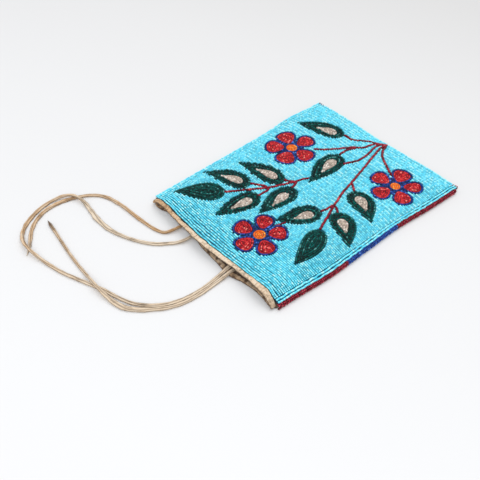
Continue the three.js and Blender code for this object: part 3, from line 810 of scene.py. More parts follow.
class Shader:
    """A new material with short ways to add and join its nodes"""

    def __init__(self, name, roughness, **settings):
        self.material = bpy.data.materials.new(name)
        self.material.use_nodes = True
        self.nodes = self.material.node_tree.nodes
        self.links = self.material.node_tree.links
        self.surface = self.nodes["Principled BSDF"]
        self.surface.inputs["Roughness"].default_value = roughness
        for socket, value in settings.items():
            self.surface.inputs[socket.replace("_", " ")].default_value = value

    def add(self, kind, **settings):
        node = self.nodes.new(f"ShaderNode{kind}")
        for key, value in settings.items():
            if key in node.inputs:
                node.inputs[key].default_value = value
            else:
                setattr(node, key, value)
        return node

    def join(self, start, end):
        self.links.new(start, end)

    def places(self, stretch=(1, 1, 1)):
        """Object coordinates, stretched"""
        mapping = self.add("Mapping", Scale=stretch)
        self.join(self.add("TexCoord").outputs["Object"], mapping.inputs["Vector"])
        return mapping.outputs["Vector"]

    def noise(self, vector, scale, detail=3.0, rough=0.55):
        node = self.add("TexNoise", Scale=scale, Detail=detail, Roughness=rough)
        self.join(vector, node.inputs["Vector"])
        return node.outputs["Fac"]

    def ramp(self, value, *stops):
        """Colours by value: each stop is a place from 0 to 1 and a colour"""
        node = self.add("ValToRGB")
        elements = node.color_ramp.elements
        while len(elements) < len(stops):
            elements.new(0.5)
        for element, (place, shade) in zip(elements, stops):
            element.position = place
            element.color = (*shade, 1)
        self.join(value, node.inputs["Fac"])
        return node.outputs["Color"]

    def math(self, operation, first, second):
        node = self.add("Math", operation=operation)
        for socket, value in zip(node.inputs, (first, second)):
            if isinstance(value, (int, float)):
                socket.default_value = value
            else:
                self.join(value, socket)
        return node.outputs["Value"]

    def attribute(self, name, output="Fac"):
        return self.add("Attribute", attribute_name=name).outputs[output]

    def mix(self, share, first, second):
        """A blend of two colours by a share from 0 to 1"""
        node = self.add("Mix", data_type="RGBA")
        sockets = [socket for socket in node.inputs if socket.enabled]
        for socket, value in zip(sockets, (share, first, second)):
            if isinstance(value, tuple):
                socket.default_value = (*value, 1)
            else:
                self.join(value, socket)
        return next(output for output in node.outputs if output.enabled)

    def bump(self, height, strength, distance):
        node = self.add("Bump", Strength=strength, Distance=distance)
        self.join(height, node.inputs["Height"])
        self.join(node.outputs["Normal"], self.surface.inputs["Normal"])

    def paint(self, shade):
        self.join(shade, self.surface.inputs["Base Color"])


PALE_HIDE = (0.92, 0.82, 0.66)


def shade(base, factor):
    return tuple(min(1.0, c * factor) for c in base)


def tint(base, towards, share):
    return tuple(c + (t - c) * share for c, t in zip(base, towards))


# Bead glass: painted shade on the bead sides between rows and how narrow it is, depth of the darkest bead,
# colours of the lightest and of the few given a painted highlight, roughness and gloss
GLASS = {
    "turquoise": (0.62, 2.2, 0.68, (0.36, 0.97, 1.0), (0.55, 1.0, 1.0), 0.3, 0.4),
    "petal_red": (0.35, 1.8, 0.45, (0.86, 0.042, 0.042), (1.0, 0.27, 0.22), 0.2, 0.25),
    "outline_blue": (0.2, 1.5, 0.35, (0.014, 0.075, 0.4), (0.08, 0.24, 0.75), 0.25, 0.3),
    "centre_orange": (0.74, 2.2, 0.7, (1.0, 0.34, 0.035), (1.0, 0.62, 0.12), 0.25, 0.3),
    "leaf_green": (0.02, 1.0, 0.25, (0.003, 0.18, 0.15), (0.12, 0.42, 0.38), 0.16, 0.18),
    "leaf_pale": (0.35, 1.7, 0.6, (0.84, 0.73, 0.62), (1.0, 0.93, 0.86), 0.32, 0.4),
    "stem_red": (0.3, 1.7, 0.25, (0.44, 0.012, 0.03), (0.7, 0.09, 0.09), 0.2, 0.3),
    "edging_red": (0.25, 1.4, 0.5, (0.44, 0.018, 0.05), (0.62, 0.07, 0.09), 0.2, 0.3),
    "edging_blue": (0.3, 1.4, 0.5, (0.03, 0.13, 0.55), (0.12, 0.3, 0.8), 0.25, 0.35),
}


@lru_cache(maxsize=None)
def bead_material(key):
    """Bead glass whose tone changes from bead to bead and in soft patches, with painted shade on the bead
    sides between the rows and a painted highlight on a few beads
    """
    base = tuple(getattr(colours(), key))
    groove, narrow, depth, lightest, painted_glint, roughness, gloss = GLASS[key]
    glass = Shader(f"{key}_glass", roughness, IOR=1.5, Specular_IOR_Level=gloss)
    tone = glass.math("MULTIPLY", glass.attribute("bead_tone"), 0.8)
    patches = glass.math("MULTIPLY", glass.noise(glass.places(), 110.0, detail=2.0), 0.2)
    stops = (
        (0.1, shade(base, depth)),
        (0.28, shade(base, (1 + depth) / 2)),
        (0.46, base),
        (0.82, lightest),
        # Painted highlight: the lightest few beads take a near-white colour
        (0.89, painted_glint),
    )
    lit = glass.ramp(glass.math("ADD", tone, patches), *stops)
    # Painted shade on the bead sides between the rows
    sides = glass.math("POWER", glass.attribute("groove"), narrow)
    glass.paint(glass.mix(sides, lit, shade(base, groove)))
    return glass.material


def hide_material(name, base, grain_scale=900.0, grain_along=None):
    """Soft tanned hide: cloudy colour, warm stains, a dark colour for painted shade and wear where its
    points are marked, and a fine nap
    """
    hide = Shader(name, 0.86, Sheen_Weight=0.12, Specular_IOR_Level=0.25)
    places = hide.places()
    clouds = hide.noise(places, 60.0, detail=5.0, rough=0.65)
    nap = hide.attribute(grain_along, "Vector") if grain_along else places
    grain = hide.noise(nap, grain_scale, detail=4.0)
    value = hide.math("ADD", hide.math("MULTIPLY", clouds, 0.5), hide.math("MULTIPLY", grain, 0.5))
    warm = tuple(colours().warm_hide)
    plain = ((0.38, shade(base, 0.5)), (0.48, base), (0.62, tint(base, PALE_HIDE, 0.6)))
    stained = ((0.38, shade(warm, 0.45)), (0.48, warm), (0.62, tint(warm, base, 0.7)))
    body = hide.mix(hide.attribute("warmth"), hide.ramp(value, *plain), hide.ramp(value, *stained))
    # Painted shade and wear: darkened where the points are marked
    hide.paint(hide.mix(hide.attribute("crease"), body, tuple(colours().hide_wear_and_shade)))
    hide.bump(hide.math("ADD", grain, hide.math("MULTIPLY", clouds, 0.6)), 0.6, 0.35 * MM)
    return hide.material


def cloth_material(base, dark):
    """Plain woven cloth, with painted shade where the marks on its points say so"""
    cloth = Shader("woven_cloth", 0.95, Sheen_Weight=0.1)
    places = cloth.places()
    threads = []
    for direction in ("X", "Y"):
        wave = cloth.add("TexWave", bands_direction=direction, Scale=400.0, Distortion=0.6)
        cloth.join(places, wave.inputs["Vector"])
        threads.append(wave.outputs["Fac"])
    weave = cloth.math("MULTIPLY", *threads)
    plain = cloth.ramp(weave, (0.0, shade(base, 0.6)), (0.8, shade(base, 1.15)))
    # Painted shade where the cloth is marked
    cloth.paint(cloth.mix(cloth.attribute("darkness"), plain, dark))
    cloth.bump(weave, 0.5, 0.2 * MM)
    return cloth.material


# Operators


VIEW_AZIMUTH = math.radians(49.33)
VIEW_ELEVATION = math.radians(46.035)
CAMERA_PLACE = (0.32723, -0.36275, 0.4373)
CAMERA_LENS = 49.5
SENSOR_WIDTH = 36


class BAG_OT_camera(bpy.types.Operator):
    """Looks down on the bag from its mouth's right-hand corner"""

    bl_idname = "beaded_bag.camera"
    bl_label = "Camera"

    def execute(self, context):
        data = bpy.data.cameras.new("camera")
        data.sensor_width = SENSOR_WIDTH
        data.lens = CAMERA_LENS
        camera = bpy.data.objects.new("camera", data)
        camera.location = CAMERA_PLACE
        camera.rotation_euler = (math.pi / 2 - VIEW_ELEVATION, 0, VIEW_AZIMUTH)
        context.scene.collection.objects.link(camera)
        context.scene.camera = camera
        return {"FINISHED"}


class Thong(NamedTuple):
    """One thong: its widths, stains and dark tip are stops of a distance and a value, in millimetres"""

    name: str
    node: str
    far_end: str
    route: tuple
    widths: tuple
    warmth: tuple
    dark: tuple
    tip: float
    seed: int


THONGS = (
    Thong(
        "left_tie", "tie_thong_left", "bare", TIE_LEFT_ROUTE,
        widths=((0, 3.0), (60, 3.1), (75, 3.7), (120, 3.7), (180, 4.2), (225, 3.5), (243, 3.0)),
        warmth=((0, 1.0), (60, 1.0), (90, 0.9), (130, 0.6), (170, 0.9), (222, 0.7), (234, 0.0)),
        dark=((0, 0), (226, 0), (230, 0.3), (233, 0)), tip=12, seed=3,
    ),
    Thong(
        "handle_loop", "handle_thong", "object", HANDLE_ROUTE,
        widths=((0, 3.6), (85, 3.6), (108, 4.4), (128, 5.6), (148, 4.4), (160, 2.9), (180, 3.7), (215, 4.4),
                (245, 3.8), (262, 2.8), (290, 3.4), (335, 3.6), (390, 3.6), (500, 3.6)),
        warmth=((0, 0.1), (100, 0.15), (150, 0.1), (175, 0.6), (240, 0.85), (280, 0.5), (330, 0.25),
                (500, 0.15)),
        dark=((0, 0), (500, 0)), tip=0, seed=6,
    ),
    Thong(
        "right_tie", "tie_thong_right", "bare", TIE_RIGHT_ROUTE,
        widths=((0, 3.5), (100, 3.5), (122, 5.2), (134, 5.4), (150, 3.8), (166, 2.9), (240, 2.7), (256, 3.2),
                (266, 2.6)),
        warmth=((0, 0.15), (150, 0.25), (200, 0.5), (265, 0.6)),
        dark=((0, 0), (246, 0), (256, 0.7), (266, 0.85)), tip=7, seed=8,
    ),
)


# Thongs: the grid of their skin, the length and spread of their fibres, how uneven and rough they are, the
# slimness of a tip, the breadth of the fold along the top, its depths above and below, the most painted
# shade and wear
THONG_SIDES = 24
THONG_STEP = 1.1 * MM
FIBRE_LENGTH = 9 * MM
FIBRE_TURNS = 2.2
THONG_UNEVEN = 0.09
THONG_ROUGH = 0.06
TIP_SHARE = 0.14
FOLD_BREADTH = 0.24
FOLD_DEPTHS = (0.75, 0.2)
THONG_WEAR_AND_SHADE_CAP = 0.92


def at_stops(at, stops):
    """A value between stops of a distance in millimetres and a value"""
    places, values = zip(*stops)
    return np.interp(at / MM, places, values)


def rounded(wave):
    """A wave with fuller shoulders"""
    return np.sign(wave) * np.abs(wave) ** 0.8


def thong_section(thong, at, around, length):
    """How far a thong's skin lies across and through its middle line, and how dark it is: painted shade in
    the fold along the top, darker at its edges and tip
    """
    s = sizes()
    uneven = 1 + THONG_UNEVEN * ripple(at[:, None], 14 * MM, thong.seed)
    width = at_stops(at, thong.widths) * MM * uneven
    thickness = s.thong_thickness * (s.thong_width / width) ** 0.7
    slim = np.clip((length - at) / (thong.tip * MM), TIP_SHARE, 1) ** 0.8 if thong.tip else 1
    out, up = rounded(np.cos(around)), rounded(np.sin(around))
    fold = bell(out, 0.1 + 0.45 * ripple(at[:, None], 70 * MM, thong.seed + 1), FOLD_BREADTH)
    skin = np.stack((at, 2 * MM * np.cos(around), 2 * MM * np.sin(around)), 1)
    rough = 1 + THONG_ROUGH * ripple(skin, 4 * MM, thong.seed + 2)
    across = width / 2 * slim * out * rough
    through = thickness / 2 * slim * up * (1 - np.where(up > 0, *FOLD_DEPTHS) * fold)
    # Painted shade in the fold along the top, darker along the edges and at the tip
    crease = 0.75 * fold * (up > 0) + 0.5 * bell(np.abs(out), 1, 0.2) + at_stops(at, thong.dark)
    return across, through, np.clip(crease, 0, THONG_WEAR_AND_SHADE_CAP)


def lay_thong(thong, material):
    """One thong as a closed strip along its route"""
    path = smooth_path(in_metres(thong.route), 0.9 * MM)
    reach = np.concatenate(([0], np.cumsum(np.linalg.norm(np.diff(path, axis=0), axis=1))))
    length = reach[-1]
    ahead = unit(np.gradient(path, axis=0))
    level = unit(np.cross((0, 0, 1), ahead))
    upright = np.cross(ahead, level)

    def shape(u, v):
        at = u * length
        near = np.clip(np.searchsorted(reach, at), 0, len(path) - 1)
        middle = np.stack([np.interp(at, reach, path[:, k]) for k in range(3)], 1)
        across, through, _ = thong_section(thong, at, 2 * math.pi * v, length)
        lean = math.radians(12) * ripple(at[:, None], 80 * MM, thong.seed + 3)
        wide = level[near] * np.cos(lean)[:, None] + upright[near] * np.sin(lean)[:, None]
        thick = upright[near] * np.cos(lean)[:, None] - level[near] * np.sin(lean)[:, None]
        skin = middle + across[:, None] * wide + through[:, None] * thick
        skin[:, 2] = np.maximum(skin[:, 2], 0.06 * MM)
        return skin

    piece, (u, v) = grid_piece(round(length / THONG_STEP), THONG_SIDES, shape)
    at, around = u * length, 2 * math.pi * v
    mark(
        piece,
        fibre=np.stack((at / FIBRE_LENGTH, FIBRE_TURNS * np.cos(around), FIBRE_TURNS * np.sin(around)), 1),
        warmth=at_stops(at, thong.warmth),
        crease=thong_section(thong, at, around, length)[2],
    )
    face_outwards()
    bpy.ops.object.shade_smooth()
    finish_piece(piece, thong.name, material, "thong_hide", thong.node)


class BAG_OT_thongs(bpy.types.Operator):
    """Lays the handle and the two ties on the table"""

    bl_idname = "beaded_bag.thongs"
    bl_label = "Thongs"

    def execute(self, context):
        strip = hide_material("thong_hide", tuple(colours().thong), 1.0, "fibre")
        for thong in THONGS:
            lay_thong(thong, strip)
        return {"FINISHED"}


BACK_GRID = (60, 72)
BACK_WAVE = 0.12 * MM
BACK_SUNK = 0.2 * MM
CLOTH_GRID = (90, 110)
CLOTH_THICKNESS = 0.7 * MM


class BAG_OT_panels(bpy.types.Operator):
    """Cuts the hide back and the cloth that carries the beads"""

    bl_idname = "beaded_bag.panels"
    bl_label = "Panels"

    def execute(self, context):
        def back(u, v):
            y = MOUTH_Y + FACE_LENGTH * v
            x = half_width(y) * (2 * u - 1)
            y = y + (back_lip(x)[0] - MOUTH_Y) * near_mouth(y, 12 * MM)
            lift = BACK_WAVE * (1 + ripple(np.stack((x, y), 1), 40 * MM, 12))
            return np.stack((*on_seam(x, y), lift), 1)

        def spots(u, v):
            y = MOUTH_Y + FACE_LENGTH * v
            return np.stack((half_width(y) * (2 * u - 1), y), 1)

        def front(u, v):
            return on_face(*spots(u, v).T, CLOTH_LOW.z)

        hide, (_, along) = grid_piece(*BACK_GRID, back)
        # Painted shade on the back hide inside the mouth
        mark(hide, crease=0.95 * near_mouth(MOUTH_Y + FACE_LENGTH * along, 16 * MM))
        thicken(hide, BACK_HIGH.z - BACK_SUNK, 1)
        tanned = hide_material("back_hide", tuple(colours().hide))
        finish_piece(hide, "hide_back", tanned, "hide", "back_panel")
        cloth, shares = grid_piece(*CLOTH_GRID, front)
        places = spots(*shares)
        # Painted shade on the cloth at the mouth edge and under the leaves and petals
        painted_shade_mask = places[:, 1] < MOUTH_Y + 0.5 * MM
        for field in motif_fields():
            painted_shade_mask |= inside(places, field)
        mark(cloth, darkness=painted_shade_mask.astype(float))
        thicken(cloth, CLOTH_THICKNESS, 1)
        weave = cloth_material(tuple(colours().cloth), tuple(colours().cloth_painted_shade))
        finish_piece(cloth, "cloth_front", weave, "canvas", "front_panel")
        return {"FINISHED"}


ROLL_ENDS = (-85 * MM, 87 * MM)
ROLL_TURN = (32, 304)
ROLL_GRID = (420, 22)
ROLL_LUMPS = 0.08
ROLL_WRINKLES = 0.05
ROLL_END = 1.1 * MM
ROLL_WEAR_AND_SHADE_CAP = 0.94

# The front roll: sizes, and how they change along the mouth as humps in millimetres
FRONT_GAP = 0.35 * MM
FRONT_GAP_HUMP = (0.6, -52, 32)
FRONT_DEPTH = 2.5 * MM
FRONT_DEPTH_HUMPS = ((-0.35, 42, 16), (0.8, 76, 10), (0.3, -84, 5), (-0.3, -52, 32))
FRONT_HEIGHT = 1.3 * MM
FRONT_HEIGHT_HUMP = (0.9, -86, 6)
FRONT_LIFT = 0.5 * MM
LEFT_DROP = (-1.5, -85.5, 4.5)
RIGHT_OUT = 1.8 * MM
RIGHT_DOWN = 1.3 * MM

# The back roll, in the same way, then its outer edge in millimetres
BACK_DEPTH = 2.2 * MM
BACK_DEPTH_HUMP = (1.0, 28, 25)
BACK_HEIGHT = 1.1 * MM
BACK_HEIGHT_HUMP = (0.25, 30, 20)
BACK_CLEARANCE = 0.1 * MM
BACK_CORNER_LIFT = 1.0 * MM
BACK_LIP = (
    (-87, -116.5), (-83, -118.5), (-79, -120), (-72, -119.6), (-67, -117.4), (-60, -116), (-38, -116.4),
    (-20, -118), (-8, -121.2), (16, -122.8), (33, -124.2), (41, -122.6), (48, -120), (62, -118.2),
    (75, -119), (83, -120.4), (87, -119.2),
)


def corner(x):
    """A share that grows from 0 to 1 towards both ends of the mouth"""
    return np.clip((np.abs(x) - 79 * MM) / (8 * MM), 0, 1) ** 2


def front_lip(x):
    """Middle line, half depth and half height of the roll on the front lip"""
    mouth = np.full_like(x, MOUTH_Y)
    right = np.where(x > 0, corner(x), 0)
    gap = FRONT_GAP + humps(x, FRONT_GAP_HUMP)
    depth = FRONT_DEPTH + humps(x, *FRONT_DEPTH_HUMPS)
    y = MOUTH_Y - gap + drift(x, mouth) - depth - RIGHT_OUT * right
    z = sizes().bead_floor + FRONT_LIFT + rise(x, mouth) - RIGHT_DOWN * right + humps(x, LEFT_DROP)
    return y, z, depth, FRONT_HEIGHT + humps(x, FRONT_HEIGHT_HUMP)


def back_lip(x):
    """Middle line, half depth and half height of the roll on the back lip"""
    edge = np.interp(x, *smooth_path(in_metres(BACK_LIP), MM).T)
    depth = BACK_DEPTH + humps(x, BACK_DEPTH_HUMP)
    height = BACK_HEIGHT + humps(x, BACK_HEIGHT_HUMP)
    return edge + depth, height + BACK_CLEARANCE + BACK_CORNER_LIFT * corner(x), depth, height


class Roll(NamedTuple):
    """One rolled strip: its stains and wear are stops of a place in millimetres and a value; the darkest
    wear at the left end is painted shade in its hollow, and the inner share is painted shade
    """

    name: str
    node: str
    lip: Callable
    seed: int
    warmth: tuple
    wear: tuple
    painted_inner_shade: float
    streaks: float


ROLLS = (
    Roll(
        "front_roll", "binding_front", front_lip, seed=40,
        warmth=((-87, 0.95), (-60, 0.85), (-40, 0.55), (-12, 0.1), (45, 0.05), (70, 0.25), (87, 0.25)),
        wear=((-86, 0.85), (-84, 0.3), (-81, 0.1), (-50, 0.05), (50, 0.0), (80, 0.1), (87, 0.4)),
        painted_inner_shade=0.0, streaks=0.1,
    ),
    Roll(
        "back_roll", "binding_back", back_lip, seed=50,
        warmth=((-87, 0.9), (0, 0.6), (87, 0.6)),
        wear=((-86, 0.4), (-75, 0.5), (-60, 0.6), (0, 0.25), (40, 0.25), (70, 0.3), (87, 0.4)),
        painted_inner_shade=0.2, streaks=0.7,
    ),
)


def roll_hide(roll, material):
    """A strip of hide rolled over a lip of the mouth, wrinkled across and closed at its ends"""
    low, high = ROLL_ENDS

    def wrinkles(x, v):
        return ripple(np.stack((x, 2.5 * MM * v), 1), 2.4 * MM, roll.seed)

    def shape(u, v):
        x = low + (high - low) * u
        y, z, depth, height = roll.lip(x)
        turn = np.radians(ROLL_TURN[0] + (ROLL_TURN[1] - ROLL_TURN[0]) * v)
        lumps = ROLL_LUMPS * ripple(np.stack((x, 8 * MM * v), 1), 15 * MM, roll.seed + 1)
        swell = 1 + ROLL_WRINKLES * wrinkles(x, v) + lumps
        near_end = np.clip(1 - np.minimum(x - low, high - x) / ROLL_END, 0, 1)
        swell = swell * np.clip(np.sqrt(1 - near_end**2), 0.06, 1)
        out = y + depth * rounded(np.cos(turn)) * swell
        up = z + height * rounded(np.sin(turn)) * swell
        return np.stack((x, out, up), 1)

    piece, (u, v) = grid_piece(*ROLL_GRID, shape)
    x = low + (high - low) * u
    # Painted shade on the underside of each roll, more round the left end, and on the inner side of the back
    # roll under the front roll
    under = np.clip((v - 0.4 - 0.3 * bell(x, low, 6 * MM)) * 7, 0, 1) + np.clip((roll.painted_inner_shade - v) * 8, 0, 1)
    marbled = ripple(np.stack((0.3 * x, 5 * MM * v), 1), 2.4 * MM, roll.seed + 2)
    # Wear along the mouth; its darkest stops at the left end are painted shade in the end's hollow
    worn = at_stops(x, roll.wear) * (1 + 0.6 * wrinkles(x, v))
    # Painted shade in the valleys of the wrinkles
    painted_fold_shade = 0.4 * np.clip(-wrinkles(x, v) - 0.2, 0, 1)
    crease = np.clip(worn + painted_fold_shade + roll.streaks * np.clip(marbled, 0, 1) + under, 0, ROLL_WEAR_AND_SHADE_CAP)
    mark(piece, warmth=at_stops(x, roll.warmth), crease=crease)
    thicken(piece, sizes().hide_thickness, 1)
    finish_piece(piece, roll.name, material, "hide", roll.node)


class BAG_OT_bindings(bpy.types.Operator):
    """Rolls strips of hide over the two lips of the mouth"""

    bl_idname = "beaded_bag.bindings"
    bl_label = "Bindings"

    def execute(self, context):
        hide = hide_material("binding_hide", tuple(colours().hide), 480.0)
        for roll in ROLLS:
            roll_hide(roll, hide)
        return {"FINISHED"}


RING_SHADE_AMOUNT = 0.16


def ring_painted_shade(leaf):
    """Painted shade and light: how much lighter or darker each green bead is for the ring it lies in,
    swapping from ring to ring
    """
    places = motif_beads()[leaf][:, None, :2]
    deep = np.linalg.norm(places - leaf_outline(leaf)[None], axis=2).min(axis=1)
    return RING_SHADE_AMOUNT * np.cos(math.pi * deep / (RING_PITCH * sizes().bead_width) - math.pi / 2)


def string_motifs(names, key, slot_name, lift=0.0, **strung):
    """Strings the beads of the named nodes in one colour"""
    height = sizes().bead_floor + sizes().bead_width / 2 + lift
    for name in names:
        piece = bead_piece(face_frames(motif_beads()[name], height), **strung)
        finish_piece(piece, f"{name}_beads", bead_material(key), slot_name, name)


class BAG_OT_flowers(bpy.types.Operator):
    """Strings the petals, outlines and centres of the flowers"""

    bl_idname = "beaded_bag.flowers"
    bl_label = "Flowers"

    def execute(self, context):
        for flower in FLOWERS:
            petals = [f"{flower}_petal_{k + 1}" for k in range(PETAL_COUNT)]
            string_motifs(petals, "petal_red", "red_beads", loose=1.6)
            string_motifs([f"{flower}_centre"], "centre_orange", "orange_beads", loose=1.6)
            outline = [f"{flower}_outline"]
            string_motifs(outline, "outline_blue", "blue_beads", lift=0.1 * MM, scale=1.16)
        return {"FINISHED"}


class BAG_OT_leaves(bpy.types.Operator):
    """Strings the leaves and their pale centres"""

    bl_idname = "beaded_bag.leaves"
    bl_label = "Leaves"

    def execute(self, context):
        for leaf, (_, pale) in LEAVES.items():
            string_motifs(
                [leaf], "leaf_green", "green_beads", lift=0.1 * MM,
                scale=0.92, loose=0.8, spread=0.7, shift=ring_painted_shade(leaf),
            )
            if pale:
                string_motifs([f"{leaf}_centre"], "leaf_pale", "pale_beads", scale=1.12)
        return {"FINISHED"}


class BAG_OT_stems(bpy.types.Operator):
    """Strings the stems"""

    bl_idname = "beaded_bag.stems"
    bl_label = "Stems"

    def execute(self, context):
        long_stems = ["stem_spray", "stem_branch"]
        string_motifs(long_stems, "stem_red", "stem_beads", lift=0.35 * MM, scale=1.42)
        string_motifs(["stem_short"], "stem_red", "stem_beads", lift=0.1 * MM, scale=1.05)
        return {"FINISHED"}


class BAG_OT_ground(bpy.types.Operator):
    """Strings the turquoise ground in three bands, and the border rows"""

    bl_idname = "beaded_bag.ground"
    bl_label = "Ground"

    def execute(self, context):
        beads = ground_beads()
        tones = row_tones_and_shade(beads[:, 1])
        height = sizes().bead_floor + sizes().bead_width / 2
        bands = ("mouth", "middle", "end")
        share = np.clip((beads[:, 1] - MOUTH_Y) / FACE_LENGTH * len(bands), 0, len(bands) - 0.001)
        for k, band in enumerate(bands):
            chosen = share.astype(int) == k
            frames = face_frames(beads[chosen], height)
            piece = bead_piece(frames, scale=0.98, loose=0.6, shift=tones[chosen], round_sides=False)
            self.set_in(piece, f"ground_beads_{band}")
        frames = face_frames(border_beads(), height + 0.2 * MM)
        piece = bead_piece(frames, scale=1.1, loose=0.8, spread=0.9, shift=0.12, round_sides=False)
        self.set_in(piece, "border_beads")
        return {"FINISHED"}

    def set_in(self, piece, name):
        finish_piece(piece, name, bead_material("turquoise"), "turquoise_beads", "bead_ground")


# Edging: the turn of each bead of a stitch round the edge, the edge's middle and half sizes, then the slant
# and unevenness of the stitches, and how far they sit in and tuck under
EDGING_ANGLES = (128, 68, 8, -52)
EDGING_HEIGHT = 2.2 * MM
EDGING_WIDE = 1.5 * MM
EDGING_TALL = 1.6 * MM
STITCH_SLANT = 0.3 * MM
STITCH_BUMP = 0.3 * MM
EDGING_SUNK = 0.4 * MM
EDGING_TUCK = 1.2 * MM
TUCKED_SHARE = 0.72


def edging_frames(start, finish, share=1.0, corner_lift=0.0):
    """Short slanted stitches of four beads round an edge, from its top to its foot"""
    s = sizes()
    start, finish = np.array(start), np.array(finish)
    length = np.linalg.norm(finish - start)
    along = (finish - start) / length
    out, up = np.array((along[1], -along[0], 0)), np.array((0, 0, 1))
    at = (np.arange(round(length / s.stitch_pitch)) + 0.5) * s.stitch_pitch
    lift = corner_lift * (bell(at, 0, 5 * MM) + bell(at, length, 8 * MM))
    bump = STITCH_BUMP * ripple(at[:, None], 5 * MM, 71)
    places, threads, uprights = [], [], []
    turns = np.radians(EDGING_ANGLES)
    for angle in turns:
        cosine, sine = math.cos(angle), math.sin(angle)
        slant = STITCH_SLANT * (angle - turns.mean())
        round_edge = share * (out * EDGING_WIDE * cosine + up * (EDGING_HEIGHT + EDGING_TALL * sine))
        spot = start + round_edge + along * slant + at[:, None] * along + lift[:, None] * up
        spot = spot + bump[:, None] * (out * cosine + up * sine)
        places.append(np.stack((*on_seam(spot[:, 0], spot[:, 1]), spot[:, 2]), 1))
        thread = out * EDGING_WIDE * sine - up * EDGING_TALL * cosine - along * STITCH_SLANT
        threads.append(np.tile(thread, (len(at), 1)))
        uprights.append(np.tile(out * cosine + up * sine, (len(at), 1)))
    return np.vstack(places), unit(np.vstack(threads)), unit(np.vstack(uprights))


class BAG_OT_edging(bpy.types.Operator):
    """Strings the rolled edging over the seams"""

    bl_idname = "beaded_bag.edging"
    bl_label = "Edging"

    def execute(self, context):
        shown = (EDGE_HIGH.y - EDGE_LOW.y) / 2 - EDGING_SUNK
        tucked = shown - EDGING_TUCK
        sides = (("right", 1, shown, -2 * MM, 3 * MM), ("left", -1, tucked, 5 * MM, 0))
        for label, side, out, start, stop in sides:
            share = 1.0 if side > 0 else TUCKED_SHARE
            bands = (
                ("mouth", MOUTH_Y + start, BLUE_LOW.y, "red"),
                ("middle", BLUE_LOW.y, BLUE_HIGH.y, "blue"),
                ("end", BLUE_HIGH.y, END_Y - stop, "red"),
            )
            for band, low, high, shade_name in bands:
                ends = [(side * (half_width(y) + out), y, 0) for y in (low, high)]
                frames = edging_frames(*(ends if side > 0 else ends[::-1]), share)
                self.string(f"edging_{label}_{band}", frames, shade_name)
        ends = [(x, END_Y + tucked, 0) for x in (END_HALF, -END_HALF)]
        self.string("edging_closed_end", edging_frames(*ends, TUCKED_SHARE, 1.2 * MM), "red")
        return {"FINISHED"}

    def string(self, node, frames, shade_name):
        piece = bead_piece(frames, loose=2.0)
        name = f"edging_{shade_name}"
        finish_piece(piece, f"{node}_beads", bead_material(name), name, node)


# Lamps: breadth and place in metres
KEY_LAMP = (2.4, (-0.4, 1.1, 2.2))
FILL_LAMP = (2.0, (0.9, -1.3, 1.9))
DAYLIGHT = (0.955, 0.985, 1.04)

# Painted shade: the table's colour darkens away from the camera and to its right, standing in for light that
# falls off
RIGHT_FALL = 0.58
TABLE_FALL = (
    RIGHT_FALL * math.cos(VIEW_AZIMUTH) - math.sin(VIEW_AZIMUTH),
    RIGHT_FALL * math.sin(VIEW_AZIMUTH) + math.cos(VIEW_AZIMUTH),
    0,
)


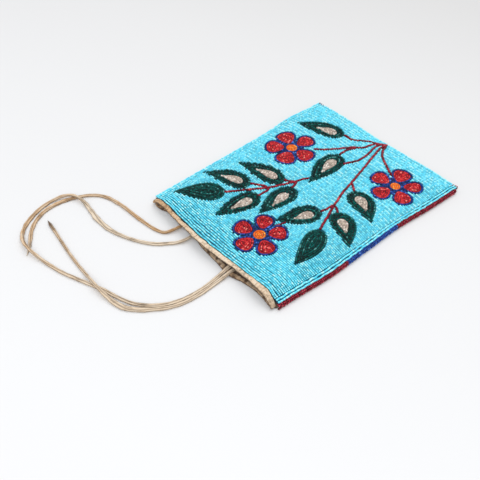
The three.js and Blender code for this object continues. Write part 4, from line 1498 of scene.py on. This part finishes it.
class BAG_OT_stage(bpy.types.Operator):
    """Sets the table, the lamps and the even light"""

    bl_idname = "beaded_bag.stage"
    bl_label = "Stage"

    def execute(self, context):
        clear_selection()
        bpy.ops.mesh.primitive_plane_add(size=6)
        table = context.object
        table.name = "table"
        top = Shader("table_top", 0.9, Specular_IOR_Level=0.1)
        away = top.add("VectorMath", operation="DOT_PRODUCT")
        away.inputs[1].default_value = TABLE_FALL
        top.join(top.places(), away.inputs[0])
        # Painted shade: the far colour darkens the table away from the camera
        near, far = tuple(colours().table), tuple(colours().table_far_painted_shade)
        stops = ((0.07, near), (0.4, tint(near, far, 0.26)), (0.65, tint(near, far, 0.53)), (0.95, far))
        top.paint(top.ramp(top.math("ADD", away.outputs["Value"], 0.4), *stops))
        table.data.materials.append(top.material)
        light = context.scene.bag_light
        self.lamp("key", light.key_power, *KEY_LAMP)
        self.lamp("fill", light.fill_power, *FILL_LAMP)
        world = bpy.data.worlds.new("even_light")
        world.use_nodes = True
        sky = world.node_tree.nodes["Background"]
        sky.inputs["Color"].default_value = (*DAYLIGHT, 1)
        sky.inputs["Strength"].default_value = light.sky
        context.scene.world = world
        context.scene.view_settings.view_transform = "Standard"
        return {"FINISHED"}

    def lamp(self, name, power, breadth, place):
        """A square soft lamp turned towards the bag"""
        data = bpy.data.lights.new(name, "AREA")
        data.energy = power
        data.color = DAYLIGHT
        data.size = breadth
        lamp = bpy.data.objects.new(name, data)
        lamp.location = place
        lamp.rotation_euler = (-Vector(place)).to_track_quat("-Z", "Y").to_euler()
        bpy.context.scene.collection.objects.link(lamp)


class BAG_PT_panel(bpy.types.Panel):
    """Lists the steps and what can be changed"""

    bl_idname = "BAG_PT_panel"
    bl_label = "Beaded Bag"
    bl_space_type = "VIEW_3D"
    bl_region_type = "UI"
    bl_category = "Beaded Bag"

    def draw(self, context):
        for operator in OPERATORS:
            self.layout.operator(operator.bl_idname)
        for group in (context.scene.bag_sizes, context.scene.bag_colours, context.scene.bag_light):
            column = self.layout.box().column()
            for name in group.__annotations__:
                column.prop(group, name)


OPERATORS = (
    BAG_OT_camera,
    BAG_OT_thongs,
    BAG_OT_panels,
    BAG_OT_bindings,
    BAG_OT_flowers,
    BAG_OT_leaves,
    BAG_OT_stems,
    BAG_OT_ground,
    BAG_OT_edging,
    BAG_OT_stage,
)
CLASSES = (BagSizes, BagColours, BagLight, *OPERATORS, BAG_PT_panel)


def register():
    for cls in CLASSES:
        bpy.utils.register_class(cls)
    bpy.types.Scene.bag_sizes = PointerProperty(type=BagSizes)
    bpy.types.Scene.bag_colours = PointerProperty(type=BagColours)
    bpy.types.Scene.bag_light = PointerProperty(type=BagLight)


def unregister():
    del bpy.types.Scene.bag_light
    del bpy.types.Scene.bag_colours
    del bpy.types.Scene.bag_sizes
    for cls in reversed(CLASSES):
        bpy.utils.unregister_class(cls)


def main():
    register()
    bpy.ops.beaded_bag.camera()
    bpy.ops.beaded_bag.thongs()
    bpy.ops.beaded_bag.panels()
    bpy.ops.beaded_bag.bindings()
    bpy.ops.beaded_bag.flowers()
    bpy.ops.beaded_bag.leaves()
    bpy.ops.beaded_bag.stems()
    bpy.ops.beaded_bag.ground()
    bpy.ops.beaded_bag.edging()
    bpy.ops.beaded_bag.stage()


if __name__ == "__main__":
    main()
